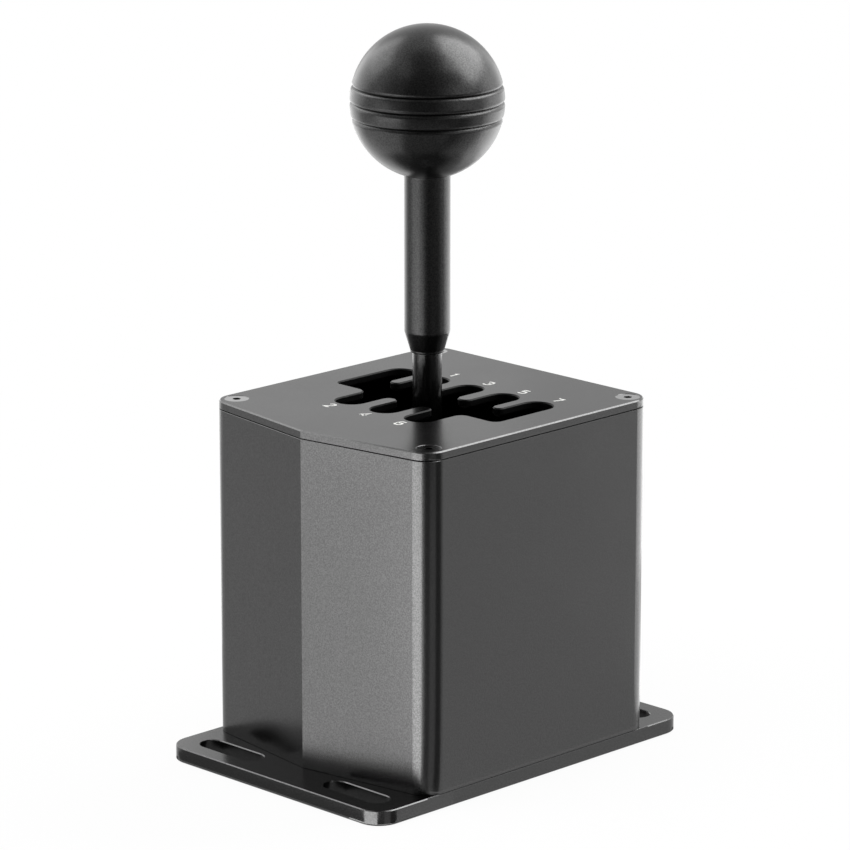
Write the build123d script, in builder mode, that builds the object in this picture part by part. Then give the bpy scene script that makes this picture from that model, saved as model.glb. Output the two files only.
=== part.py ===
from build123d import *
import os
from math import asin, atan2, cos, degrees, hypot, sin, sqrt

# Gear shifter for a driving rig: seven forward speeds and reverse in an H gate.
# Millimetres. +X is the driver's right, +Y points away from the driver, +Z is up.
# The origin is the centre of the base plate's underside, and the lever stands upright in neutral.

# Clearances and cutting
seat_gap = 0.05
running_gap = 0.05
slide_gap = 0.1
moving_gap = 0.3
overrun = 2.0

# Base plate
base_width = 100.0
base_depth = 143.0
base_thickness = 5.0
base_corner_radius = 8.0
base_edge_chamfer = 0.3
base_slot_length = 26.8
base_slot_width = 8.2
base_slot_side_margin = 7.3
base_slot_end_margin = 6.3

# Housing shell, whose front comes to a blunt vee with a sharp crease down the middle
shell_height = 110.0
shell_rear_y = 54.25
shell_front_corner_y = -49.3
shell_crease_reach = 7.7
shell_corner_radius = 7.5
shell_wall = 4.5
shell_edge_chamfer = 0.1
column_radius = 5.0
column_inset_side = 5.7
column_inset_rear = 5.95
tapped_depth = 12.0

# Gate plate and its opening
gate_plate_thickness = 3.0
gate_plate_chamfer = 0.4
gate_plate_seam_chamfer = 0.4
inner_column_pitch = 16.1
outer_column_pitch = 15.3
outer_slot_width = 11.2
inner_slot_width = 10.8
middle_slot_width = 10.4
gate_reach = 24.0
tooth_tip_y = 7.2
channel_front_y = -6.1
gate_corner_radius = 2.75
gate_shoulder_radius = 3.5
gate_top_chamfer = 0.4
gate_underside_chamfer = 0.8
lever_end_gap = 0.5

# Screws: head and shank of the two countersunk sizes, and of the small cap screws
m4_shank_radius = 2.0
m4_head_radius = 4.0
m4_hole_radius = 2.25
m4_socket_width = 2.5
m3_shank_radius = 1.5
m3_head_radius = 3.0
m3_hole_radius = 1.7
m3_socket_width = 2.0
m3_cap_radius = 2.75
m3_cap_height = 3.0
m2_shank_radius = 1.0
m2_cap_radius = 1.9
m2_cap_height = 1.4
m2_socket_width = 1.5
socket_depth = 1.2
head_recess = 0.1
gate_screw_length = 12.0
base_screw_length = 14.0
bracket_screw_length = 11.0
bridge_screw_length = 26.0

# Height of the lever's pivot, stacked up from the base plate
guide_axis_height = 5.5
drive_ball_height = 7.5
drive_stem_length = 6.0
bridge_web = 5.0
detent_radius = 25.0

# Lever: knob, sleeve and rod
rod_radius = 4.8
sleeve_radius = 7.5
sleeve_height = 58.65
sleeve_foot_height = 134.0
sleeve_taper_height = 7.0
sleeve_foot_radius = 5.6
sleeve_rim_height = 0.8
sleeve_edge_radius = 3.0
sleeve_rim_radius = 0.4
knob_radius = 25.0
knob_groove_pitch = 5.3
knob_groove_width = 1.5
knob_groove_lip_radius = 1.2
rod_thread_radius = 4.0
rod_thread_length = 16.0
insert_radius = 6.5
insert_tip_gap = 1.5

# Lever hub and its shaft
hub_half_x = 13.5
hub_half_y = 10.0
hub_half_z = 12.0
hub_edge_radius = 2.0
hub_neck_radius = 8.0
hub_neck_height = 10.0
rod_seat_height = 5.5
axle_radius = 4.0
axle_chamfer = 0.4
shift_axle_overhang = 0.5
set_screw_radius = 2.0
set_screw_socket = 2.0

# Cradle: the ring that carries the lever's shaft and tilts sideways with it
bush_radius = 6.0
bush_flange_radius = 8.0
bush_flange_thickness = 1.2
hub_swing_gap = 1.9
ring_wall_x = 8.0
ring_wall_y = 7.0
ring_height = 18.0
ring_corner_radius = 4.0
ring_inner_radius = 2.0
ring_edge_chamfer = 0.5
bridge_half_width = 10.0
bridge_screw_x = 7.2
bridge_corner_radius = 3.0
cap_pocket_depth = 3.5
cap_pocket_gap = 0.15

# Detent: a sprung plunger that rides over a notched arc
barrel_radius = 5.0
barrel_foot = 21.5
barrel_head = 5.0
barrel_flange_radius = 6.5
barrel_flange_thickness = 2.0
barrel_floor = 3.0
barrel_cap = 1.0
plunger_radius = 2.5
plunger_head_radius = 3.2
plunger_head_thickness = 2.5
plunger_head_drop = 2.5
crest_gap = 0.2
notch_radius = 3.0
notch_depth = 1.2
detent_spring_radius = 2.9
detent_spring_wall = 0.7

# Select pivot: bearings in two stands, and the shaft stubs that turn in them
stand_gap = 2.0
stand_thickness = 8.0
stand_board_gap = 2.0
stand_foot_height = 8.0
stand_top_radius = 13.0
stand_window_width = 16.0
stand_window_height = 16.0
stand_window_radius = 3.0
stand_screw_inset = 6.0
bearing_radius = 8.0
bearing_width = 5.0
bearing_lip = 2.0
stub_root = 6.0
stub_shoulder_radius = 5.5
stub_recess = 0.2

# Angle sensors: a magnet on each shaft's end and a small board that faces it
magnet_radius = 3.0
magnet_length = 2.5
sensor_gap = 0.8
sensor_chip_size = 5.0
sensor_chip_thickness = 1.2
sensor_board_size = 18.0
board_thickness = 1.6
boss_radius = 2.3
boss_offset = 6.3
boss_hole_depth = 4.0

# Centring slider on its guide rod, between two springs
guide_rod_radius = 2.0
slider_half_x = 8.0
slider_half_y = 6.0
slider_foot_gap = 2.0
slider_corner_radius = 1.0
drive_ball_radius = 2.5
drive_stem_radius = 1.5
drive_fork_gap = 0.15
drive_floor_gap = 0.5
fork_rise = 3.0
spring_radius = 3.8
spring_wall = 1.2
bracket_wall_gap = 4.5
bracket_thickness = 5.0
bracket_half_width = 8.0
bracket_height = 12.0
bracket_corner_radius = 3.0
bracket_screw_y = 5.0
guide_rod_overhang = 0.5

# Controller board with its data socket
main_board_width = 22.0
main_board_depth = 31.0
main_board_wall_gap = 2.5
main_board_front_y = 12.0
main_board_corner_radius = 1.5
standoff_height = 5.0
standoff_radius = 2.2
standoff_inset = 3.0
chip_width = 9.0
chip_depth = 9.0
chip_thickness = 1.4
jack_width = 13.4
jack_height = 12.6
jack_length = 18.0
jack_board_inset = 6.1
jack_recess = 0.8
jack_mouth_width = 9.8
jack_mouth_height = 6.9
jack_mouth_lift = 3.6
jack_latch_width = 6.2
jack_latch_height = 1.6
jack_mouth_depth = 11.0

# Places worked out from the sizes above
half_width = base_width / 2
inner_half_width = half_width - shell_wall
base_slot_spacing_x = base_width - 2 * base_slot_side_margin - base_slot_length
base_slot_spacing_y = base_depth - 2 * base_slot_end_margin - base_slot_width
shell_crease_y = shell_front_corner_y - shell_crease_reach
shell_top = base_thickness + shell_height
gate_top = shell_top + gate_plate_thickness
column_x = half_width - column_inset_side
column_places = (
    (-column_x, shell_front_corner_y + column_inset_side),
    (column_x, shell_front_corner_y + column_inset_side),
    (-column_x, shell_rear_y - column_inset_rear),
    (column_x, shell_rear_y - column_inset_rear),
)

guide_z = base_thickness + guide_axis_height
drive_ball_z = guide_z + drive_ball_height
bridge_bottom = drive_ball_z + drive_stem_length
pivot_z = bridge_bottom + bridge_web + detent_radius

# The lever leans until its rod stands in a column of the gate, or at the end of a slot
gate_land_middle = (gate_underside_chamfer + gate_plate_thickness - gate_top_chamfer) / 2
gate_land_height = shell_top + gate_land_middle - pivot_z
rod_reach_y = gate_reach - inner_slot_width / 2 - lever_end_gap
select_angle = atan2(inner_column_pitch, gate_land_height)
shift_angle = atan2(rod_reach_y * cos(select_angle), gate_land_height)

ring_inner_x = hub_half_x + moving_gap + bush_flange_thickness
ring_outer_x = ring_inner_x + ring_wall_x
ring_inner_y = hypot(hub_half_y, hub_half_z) + hub_swing_gap
ring_outer_y = ring_inner_y + ring_wall_y
ring_bottom = pivot_z - ring_height / 2
ring_top = pivot_z + ring_height / 2
bridge_screw_y = ring_inner_y + ring_wall_y / 2
bridge_screw_places = (
    (-bridge_screw_x, -bridge_screw_y),
    (bridge_screw_x, -bridge_screw_y),
    (-bridge_screw_x, bridge_screw_y),
    (bridge_screw_x, bridge_screw_y),
)

board_right_x = inner_half_width - main_board_wall_gap
board_left_x = board_right_x - main_board_width
stand_half_width = board_left_x - stand_board_gap
stand_screw_x = stand_half_width - stand_screw_inset
stand_inner_y = ring_outer_y + stand_gap
stand_outer_y = stand_inner_y + stand_thickness
stand_mid_y = stand_inner_y + stand_thickness / 2
stand_screw_places = (
    (-stand_screw_x, -stand_mid_y),
    (stand_screw_x, -stand_mid_y),
    (-stand_screw_x, stand_mid_y),
    (stand_screw_x, stand_mid_y),
)
boss_height = magnet_length - stub_recess + sensor_gap + sensor_chip_thickness
boss_places = ((-boss_offset, -boss_offset), (boss_offset, boss_offset))
board_screw_length = board_thickness + boss_hole_depth

bracket_inner_x = inner_half_width - bracket_wall_gap - bracket_thickness
spring_length = bracket_inner_x - slider_half_x
bracket_mid_x = bracket_inner_x + bracket_thickness / 2
bracket_screw_places = (
    (-bracket_mid_x, -bracket_screw_y),
    (-bracket_mid_x, bracket_screw_y),
    (bracket_mid_x, -bracket_screw_y),
    (bracket_mid_x, bracket_screw_y),
)

board_bottom = base_thickness + standoff_height
board_top = board_bottom + board_thickness
board_rear_y = main_board_front_y + main_board_depth
board_mid_x = board_left_x + main_board_width / 2
board_mid_y = main_board_front_y + main_board_depth / 2
standoff_places = (
    (board_left_x + standoff_inset, main_board_front_y + standoff_inset),
    (board_right_x - standoff_inset, main_board_front_y + standoff_inset),
    (board_right_x - standoff_inset, board_rear_y - standoff_inset),
)
jack_mid_x = board_right_x - jack_board_inset - jack_width / 2
jack_rear_y = shell_rear_y - jack_recess
jack_mid_z = board_top + jack_height / 2

sleeve_top = sleeve_foot_height + sleeve_height
knob_flat_drop = sqrt(knob_radius**2 - sleeve_radius**2)
knob_z = sleeve_top + knob_flat_drop


def housing_outline():
    """Plan of the housing: flat back and sides, and a front that comes to a blunt vee."""
    with BuildSketch() as outline:
        with BuildLine():
            Polyline(
                (-half_width, shell_rear_y),
                (-half_width, shell_front_corner_y),
                (0, shell_crease_y),
                (half_width, shell_front_corner_y),
                (half_width, shell_rear_y),
                close=True,
            )
        make_face()
        corners = outline.vertices().filter_by(lambda v: abs(v.X) > half_width / 2)
        fillet(corners, radius=shell_corner_radius)
    return outline.sketch


def gate_outline():
    """The gate: five slots forward and three back, all opening off one cross channel."""
    outer_x = inner_column_pitch + outer_column_pitch
    inner = (inner_column_pitch, inner_slot_width / 2)
    outer = (outer_x, outer_slot_width / 2)
    middle = (0, middle_slot_width / 2)
    forward = ((-outer[0], outer[1]), (-inner[0], inner[1]), middle, inner, outer)
    backward = (inner, middle, (-inner[0], inner[1]))
    left_wall = -outer_x - outer_slot_width / 2
    right_wall = -left_wall
    shoulder_x = inner[0] + inner[1]
    with BuildSketch() as opening:
        with BuildLine():
            here = (left_wall, channel_front_y + gate_corner_radius)
            for index, (x, half) in enumerate(forward):
                slot_end = gate_reach - half
                Line(here, (x - half, slot_end))
                TangentArc((x - half, slot_end), (x + half, slot_end), tangent=(0, 1))
                here = (x + half, slot_end)
                if index + 1 < len(forward):
                    next_left = forward[index + 1][0] - forward[index + 1][1]
                    root = tooth_tip_y + (next_left - here[0]) / 2
                    Line(here, (here[0], root))
                    TangentArc((here[0], root), (next_left, root), tangent=(0, -1))
                    here = (next_left, root)
            Line(here, (right_wall, channel_front_y + gate_corner_radius))
            TangentArc(
                (right_wall, channel_front_y + gate_corner_radius),
                (right_wall - gate_corner_radius, channel_front_y),
                tangent=(0, -1),
            )
            Line(
                (right_wall - gate_corner_radius, channel_front_y),
                (shoulder_x + gate_shoulder_radius, channel_front_y),
            )
            here = (shoulder_x, channel_front_y - gate_shoulder_radius)
            TangentArc((shoulder_x + gate_shoulder_radius, channel_front_y), here, tangent=(-1, 0))
            for index, (x, half) in enumerate(backward):
                slot_end = half - gate_reach
                Line(here, (x + half, slot_end))
                TangentArc((x + half, slot_end), (x - half, slot_end), tangent=(0, -1))
                here = (x - half, slot_end)
                if index + 1 < len(backward):
                    next_right = backward[index + 1][0] + backward[index + 1][1]
                    root = -tooth_tip_y - (here[0] - next_right) / 2
                    Line(here, (here[0], root))
                    TangentArc((here[0], root), (next_right, root), tangent=(0, 1))
                    here = (next_right, root)
            Line(here, (-shoulder_x, channel_front_y - gate_shoulder_radius))
            TangentArc(
                (-shoulder_x, channel_front_y - gate_shoulder_radius),
                (-shoulder_x - gate_shoulder_radius, channel_front_y),
                tangent=(0, 1),
            )
            Line(
                (-shoulder_x - gate_shoulder_radius, channel_front_y),
                (left_wall + gate_corner_radius, channel_front_y),
            )
            TangentArc(
                (left_wall + gate_corner_radius, channel_front_y),
                (left_wall, channel_front_y + gate_corner_radius),
                tangent=(-1, 0),
            )
        make_face()
    return opening.sketch


def countersunk_screw(shank_radius, head_radius, length, socket_width):
    """A flat-head screw that points down from its head's top face, with a hexagon socket."""
    with BuildPart() as screw:
        with BuildSketch(Plane.XZ):
            with BuildLine():
                Polyline(
                    (0, 0),
                    (head_radius, 0),
                    (shank_radius, shank_radius - head_radius),
                    (shank_radius, -length),
                    (0, -length),
                    close=True,
                )
            make_face()
        revolve(axis=Axis.Z)
        with BuildSketch():
            RegularPolygon(radius=socket_width / 2, side_count=6, major_radius=False)
        extrude(amount=-socket_depth, mode=Mode.SUBTRACT)
    return screw.part


def cap_screw(shank_radius, head_radius, head_height, length, socket_width):
    """A cylinder-head screw that points down from the underside of its head."""
    with BuildPart() as screw:
        with BuildSketch():
            Circle(head_radius)
        extrude(amount=head_height)
        with BuildSketch():
            Circle(shank_radius)
        extrude(amount=-length)
        with BuildSketch(Plane.XY.offset(head_height)):
            RegularPolygon(radius=socket_width / 2, side_count=6, major_radius=False)
        extrude(amount=-head_height / 2, mode=Mode.SUBTRACT)
    return screw.part


def from_below(places):
    """Places on the base plate's underside, each facing down."""
    return [Location((x, y, 0), (180, 0, 0)) for x, y in places]


def pivot_stand(face):
    """An upright that holds one select bearing. The plane lies on its inner face and looks outward."""
    with BuildPart() as stand:
        with BuildSketch(face):
            with Locations((0, pivot_z)):
                Circle(stand_top_radius)
            with Locations((0, base_thickness + stand_foot_height / 2)):
                Rectangle(2 * stand_half_width, stand_foot_height)
            make_hull()
            window_z = (base_thickness + stand_foot_height + pivot_z - bearing_radius) / 2
            with Locations((0, window_z)):
                RectangleRounded(
                    stand_window_width, stand_window_height, stand_window_radius, mode=Mode.SUBTRACT
                )
        extrude(amount=stand_thickness)
        with BuildSketch(face):
            with Locations((0, pivot_z)):
                Circle(bearing_radius + seat_gap)
        extrude(amount=bearing_width, mode=Mode.SUBTRACT)
        with BuildSketch(face):
            with Locations((0, pivot_z)):
                Circle(bearing_radius - bearing_lip)
        extrude(amount=stand_thickness, mode=Mode.SUBTRACT)
        with BuildSketch(Plane.XY.offset(base_thickness)):
            with Locations(*stand_screw_places):
                Circle(m4_shank_radius + seat_gap)
        extrude(amount=tapped_depth, mode=Mode.SUBTRACT)
    return stand


def spring_bracket(face):
    """An upright that holds one end of the guide rod. The plane lies on its inner face and looks outward."""
    with BuildPart() as bracket:
        with BuildSketch(face) as outline:
            with Locations((0, base_thickness + bracket_height / 2)):
                Rectangle(2 * bracket_half_width, bracket_height)
            fillet(outline.vertices().group_by(Axis.Y)[-1], radius=bracket_corner_radius)
            with Locations((0, guide_z)):
                Circle(guide_rod_radius + seat_gap, mode=Mode.SUBTRACT)
        extrude(amount=bracket_thickness)
        with BuildSketch(Plane.XY.offset(base_thickness)):
            with Locations(*bracket_screw_places):
                Circle(m3_shank_radius + seat_gap)
        extrude(amount=bracket_screw_length + head_recess - base_thickness + seat_gap, mode=Mode.SUBTRACT)
    return bracket


def sensor_board(face):
    """A small square board that lies on the plane, drilled for its two screws."""
    with BuildPart() as board:
        with BuildSketch(face):
            Rectangle(sensor_board_size, sensor_board_size)
            with Locations(*boss_places):
                Circle(m2_shank_radius + slide_gap, mode=Mode.SUBTRACT)
        extrude(amount=board_thickness)
    return board


def sensor_screws(face):
    """The two screws of a sensor board, whose heads lie on its outer face."""
    screw = cap_screw(m2_shank_radius, m2_cap_radius, m2_cap_height, board_screw_length, m2_socket_width)
    with BuildPart() as screws:
        with Locations(*[face.location * Location((x, y, 0)) for x, y in boss_places]):
            add(screw)
    return screws


def square_on(face, size, height):
    """A square block that stands on the plane's centre."""
    with BuildPart() as block:
        with BuildSketch(face):
            Rectangle(size, size)
        extrude(amount=height)
    return block


def shaft(face, radius, length):
    """A plain round shaft that starts on the plane, with both ends chamfered."""
    with BuildPart() as rod:
        with BuildSketch(face):
            Circle(radius)
        extrude(amount=length)
        chamfer(rod.edges().filter_by(GeomType.CIRCLE), length=axle_chamfer)
    return rod


def tube(face, outer_radius, inner_radius, length):
    """A plain tube that starts on the plane."""
    with BuildPart() as sleeve:
        with BuildSketch(face):
            Circle(outer_radius)
            Circle(inner_radius, mode=Mode.SUBTRACT)
        extrude(amount=length)
    return sleeve


def facing_right(x, y, z):
    """A plane that looks along +X, with its own Y axis upward."""
    return Plane(origin=(x, y, z), x_dir=(0, 1, 0), z_dir=(1, 0, 0))


def facing_left(x, y, z):
    """A plane that looks along -X, with its own Y axis upward."""
    return Plane(origin=(x, y, z), x_dir=(0, -1, 0), z_dir=(-1, 0, 0))


def facing_back(x, y, z):
    """A plane that looks along +Y, with its own Y axis upward."""
    return Plane(origin=(x, y, z), x_dir=(-1, 0, 0), z_dir=(0, 1, 0))


def facing_front(x, y, z):
    """A plane that looks along -Y, with its own Y axis upward."""
    return Plane(origin=(x, y, z), x_dir=(1, 0, 0), z_dir=(0, -1, 0))


os.makedirs("parts", exist_ok=True)

# Base plate: four slots to bolt it down by, and the countersunk holes of all that stands on it
with BuildPart() as base_plate:
    with BuildSketch():
        RectangleRounded(base_width, base_depth, base_corner_radius)
        with GridLocations(base_slot_spacing_x, base_slot_spacing_y, 2, 2):
            SlotOverall(base_slot_length, base_slot_width, mode=Mode.SUBTRACT)
    extrude(amount=base_thickness)
    rims = base_plate.faces().filter_by(Axis.Z).edges()
    chamfer(rims, length=base_edge_chamfer)
    with Locations(*from_below(column_places + stand_screw_places)):
        CounterSinkHole(m4_hole_radius, m4_head_radius + head_recess, counter_sink_angle=90)
    with Locations(*from_below(bracket_screw_places)):
        CounterSinkHole(m3_hole_radius, m3_head_radius + head_recess, counter_sink_angle=90)
base_plate.part.label = "base_plate"
export_step(base_plate.part, "parts/base_plate.step")

# Housing shell: one wall all round, with a screw column in each corner and a window for the data socket
outline = housing_outline()
with BuildPart() as housing_shell:
    with BuildSketch(Plane.XY.offset(base_thickness)):
        add(outline)
        offset(amount=-shell_wall, kind=Kind.INTERSECTION, mode=Mode.SUBTRACT)
        with Locations(*column_places):
            Circle(column_radius)
        add(outline, mode=Mode.INTERSECT)
    extrude(amount=shell_height)
    ends = housing_shell.faces().filter_by(Axis.Z)
    chamfer([edge for end in ends for edge in end.outer_wire().edges()], length=shell_edge_chamfer)
    with BuildSketch(Plane.XY.offset(shell_top)):
        with Locations(*column_places):
            Circle(m4_shank_radius + seat_gap)
    extrude(amount=-tapped_depth, mode=Mode.SUBTRACT)
    with BuildSketch(Plane.XY.offset(base_thickness)):
        with Locations(*column_places):
            Circle(m4_shank_radius + seat_gap)
    extrude(amount=tapped_depth, mode=Mode.SUBTRACT)
    with BuildSketch(facing_front(jack_mid_x, shell_rear_y + overrun, jack_mid_z)):
        Rectangle(jack_width + 2 * moving_gap, jack_height + 2 * moving_gap)
    extrude(amount=shell_wall + 2 * overrun, mode=Mode.SUBTRACT)
housing_shell.part.label = "housing_shell"
export_step(housing_shell.part, "parts/housing_shell.step")

# Gate plate: the housing's outline again, cut through with the gate
with BuildPart() as gate_plate:
    with BuildSketch(Plane.XY.offset(shell_top)):
        add(outline)
        add(gate_outline(), mode=Mode.SUBTRACT)
    extrude(amount=gate_plate_thickness)
    upper = gate_plate.faces().sort_by(Axis.Z)[-1]
    lower = gate_plate.faces().sort_by(Axis.Z)[0]
    chamfer(upper.outer_wire().edges(), length=gate_plate_chamfer)
    chamfer(lower.outer_wire().edges(), length=gate_plate_seam_chamfer)
    upper = gate_plate.faces().sort_by(Axis.Z)[-1]
    chamfer(upper.inner_wires()[0].edges(), length=gate_top_chamfer)
    lower = gate_plate.faces().sort_by(Axis.Z)[0]
    chamfer(lower.inner_wires()[0].edges(), length=gate_underside_chamfer)
    with Locations(*[(x, y, gate_top) for x, y in column_places]):
        CounterSinkHole(m4_hole_radius, m4_head_radius + head_recess, counter_sink_angle=90)
gate_plate.part.label = "gate_plate"
export_step(gate_plate.part, "parts/gate_plate.step")

# Countersunk screws: the gate plate's, those of the shell and the stands, and the brackets'
gate_screw = countersunk_screw(m4_shank_radius, m4_head_radius, gate_screw_length, m4_socket_width)
with BuildPart() as gate_screws:
    with Locations(*[(x, y, gate_top - head_recess) for x, y in column_places]):
        add(gate_screw)
gate_screws.part.label = "gate_screws"
export_step(gate_screws.part, "parts/gate_screws.step")

sunk = Location((0, 0, -head_recess))
base_screw = countersunk_screw(m4_shank_radius, m4_head_radius, base_screw_length, m4_socket_width)
with BuildPart() as base_screws:
    with Locations(*[place * sunk for place in from_below(column_places + stand_screw_places)]):
        add(base_screw)
base_screws.part.label = "base_screws"
export_step(base_screws.part, "parts/base_screws.step")

bracket_screw = countersunk_screw(m3_shank_radius, m3_head_radius, bracket_screw_length, m3_socket_width)
with BuildPart() as bracket_screws:
    with Locations(*[place * sunk for place in from_below(bracket_screw_places)]):
        add(bracket_screw)
bracket_screws.part.label = "bracket_screws"
export_step(bracket_screws.part, "parts/bracket_screws.step")

# Stands of the select pivot, front and rear. The rear one also carries the select sensor
front_stand = pivot_stand(facing_front(0, -stand_inner_y, 0))
front_stand.part.label = "front_stand"
export_step(front_stand.part, "parts/front_stand.step")

rear_blank = pivot_stand(facing_back(0, stand_inner_y, 0))
with BuildPart() as rear_stand:
    add(rear_blank.part)
    with BuildSketch(facing_back(0, stand_outer_y, pivot_z)):
        with Locations(*boss_places):
            Circle(boss_radius)
    extrude(amount=boss_height)
    with BuildSketch(facing_back(0, stand_outer_y + boss_height, pivot_z)):
        with Locations(*boss_places):
            Circle(m2_shank_radius + seat_gap)
    extrude(amount=-boss_hole_depth - seat_gap, mode=Mode.SUBTRACT)
rear_stand.part.label = "rear_stand"
export_step(rear_stand.part, "parts/rear_stand.step")

# Select bearings: sealed ball bearings, one in each stand
with BuildPart() as select_bearings:
    for face in (facing_front(0, -stand_inner_y, pivot_z), facing_back(0, stand_inner_y, pivot_z)):
        with BuildSketch(face):
            Circle(bearing_radius)
            Circle(axle_radius + running_gap, mode=Mode.SUBTRACT)
        extrude(amount=bearing_width)
select_bearings.part.label = "select_bearings"
export_step(select_bearings.part, "parts/select_bearings.step")

# Select sensor on the rear stand
select_board_face = facing_back(0, stand_outer_y + boss_height, pivot_z)
select_sensor_board = sensor_board(select_board_face)
select_sensor_board.part.label = "select_sensor_board"
export_step(select_sensor_board.part, "parts/select_sensor_board.step")

select_chip_face = facing_front(0, stand_outer_y + boss_height, pivot_z)
select_sensor_chip = square_on(select_chip_face, sensor_chip_size, sensor_chip_thickness)
select_sensor_chip.part.label = "select_sensor_chip"
export_step(select_sensor_chip.part, "parts/select_sensor_chip.step")

select_sensor_screws = sensor_screws(facing_back(0, stand_outer_y + boss_height + board_thickness, pivot_z))
select_sensor_screws.part.label = "select_sensor_screws"
export_step(select_sensor_screws.part, "parts/select_sensor_screws.step")

# Guide rod, its two brackets and the centring springs
left_bracket = spring_bracket(facing_left(-bracket_inner_x, 0, 0))
left_bracket.part.label = "left_bracket"
export_step(left_bracket.part, "parts/left_bracket.step")

right_bracket = spring_bracket(facing_right(bracket_inner_x, 0, 0))
right_bracket.part.label = "right_bracket"
export_step(right_bracket.part, "parts/right_bracket.step")

guide_rod_end = bracket_inner_x + bracket_thickness + guide_rod_overhang
guide_rod = shaft(facing_right(-guide_rod_end, 0, guide_z), guide_rod_radius, 2 * guide_rod_end)
guide_rod.part.label = "guide_rod"
export_step(guide_rod.part, "parts/guide_rod.step")

left_centring_spring = tube(
    facing_left(-slider_half_x, 0, guide_z), spring_radius, spring_radius - spring_wall, spring_length
)
left_centring_spring.part.label = "left_centring_spring"
export_step(left_centring_spring.part, "parts/left_centring_spring.step")

right_centring_spring = tube(
    facing_right(slider_half_x, 0, guide_z), spring_radius, spring_radius - spring_wall, spring_length
)
right_centring_spring.part.label = "right_centring_spring"
export_step(right_centring_spring.part, "parts/right_centring_spring.step")

# Controller board on three standoffs, with its chip and the socket that shows at the back
with BuildPart() as main_board:
    with BuildSketch(Plane.XY.offset(board_bottom)):
        with Locations((board_mid_x, board_mid_y)):
            RectangleRounded(main_board_width, main_board_depth, main_board_corner_radius)
        with Locations(*standoff_places):
            Circle(m2_shank_radius + slide_gap, mode=Mode.SUBTRACT)
    extrude(amount=board_thickness)
main_board.part.label = "main_board"
export_step(main_board.part, "parts/main_board.step")

with BuildPart() as board_standoffs:
    with BuildSketch(Plane.XY.offset(base_thickness)):
        with Locations(*standoff_places):
            RegularPolygon(radius=standoff_radius, side_count=6)
            Circle(m2_shank_radius + seat_gap, mode=Mode.SUBTRACT)
    extrude(amount=standoff_height)
board_standoffs.part.label = "board_standoffs"
export_step(board_standoffs.part, "parts/board_standoffs.step")

board_screw = cap_screw(m2_shank_radius, m2_cap_radius, m2_cap_height, board_screw_length, m2_socket_width)
with BuildPart() as board_screws:
    with Locations(*[(x, y, board_top) for x, y in standoff_places]):
        add(board_screw)
board_screws.part.label = "board_screws"
export_step(board_screws.part, "parts/board_screws.step")

with BuildPart() as controller_chip:
    with BuildSketch(Plane.XY.offset(board_top)):
        with Locations((board_mid_x, board_mid_y - chip_depth / 2)):
            Rectangle(chip_width, chip_depth)
    extrude(amount=chip_thickness)
controller_chip.part.label = "controller_chip"
export_step(controller_chip.part, "parts/controller_chip.step")

with BuildPart() as data_socket:
    with BuildSketch(facing_front(jack_mid_x, jack_rear_y, jack_mid_z)):
        Rectangle(jack_width, jack_height)
    extrude(amount=jack_length)
    with BuildSketch(facing_front(jack_mid_x, jack_rear_y, board_top + jack_mouth_lift)):
        with Locations((0, jack_mouth_height / 2)):
            Rectangle(jack_mouth_width, jack_mouth_height)
        with Locations((0, -jack_latch_height / 2)):
            Rectangle(jack_latch_width, jack_latch_height)
    extrude(amount=jack_mouth_depth, mode=Mode.SUBTRACT)
data_socket.part.label = "data_socket"
export_step(data_socket.part, "parts/data_socket.step")

# Cradle frame: a ring round the lever's hub, bored for the shift bushes and the select stubs
with BuildPart() as cradle_frame:
    with BuildSketch(Plane.XY.offset(ring_bottom)):
        RectangleRounded(2 * ring_outer_x, 2 * ring_outer_y, ring_corner_radius)
        RectangleRounded(2 * ring_inner_x, 2 * ring_inner_y, ring_inner_radius, mode=Mode.SUBTRACT)
    extrude(amount=ring_height)
    ends = cradle_frame.faces().filter_by(Axis.Z)
    chamfer([edge for end in ends for edge in end.outer_wire().edges()], length=ring_edge_chamfer)
    with BuildSketch(facing_right(-ring_outer_x, 0, pivot_z)):
        Circle(bush_radius + seat_gap)
    extrude(amount=2 * ring_outer_x, mode=Mode.SUBTRACT)
    with BuildSketch(facing_back(0, -ring_outer_y, pivot_z)):
        Circle(axle_radius + seat_gap)
    extrude(amount=2 * ring_outer_y, mode=Mode.SUBTRACT)
    with BuildSketch(Plane.XY.offset(ring_top)):
        with Locations(*bridge_screw_places):
            Circle(m3_hole_radius)
    extrude(amount=-ring_height, mode=Mode.SUBTRACT)
    with BuildSketch(Plane.XY.offset(ring_top)):
        with Locations(*bridge_screw_places):
            Circle(m3_cap_radius + cap_pocket_gap)
    extrude(amount=-cap_pocket_depth, mode=Mode.SUBTRACT)
    with BuildSketch(facing_right(ring_outer_x, 0, pivot_z)):
        with Locations(*boss_places):
            Circle(boss_radius)
    extrude(amount=boss_height)
    with BuildSketch(facing_right(ring_outer_x + boss_height, 0, pivot_z)):
        with Locations(*boss_places):
            Circle(m2_shank_radius + seat_gap)
    extrude(amount=-boss_hole_depth - seat_gap, mode=Mode.SUBTRACT)
cradle_frame.part.label = "cradle_frame"
export_step(cradle_frame.part, "parts/cradle_frame.step")


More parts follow.
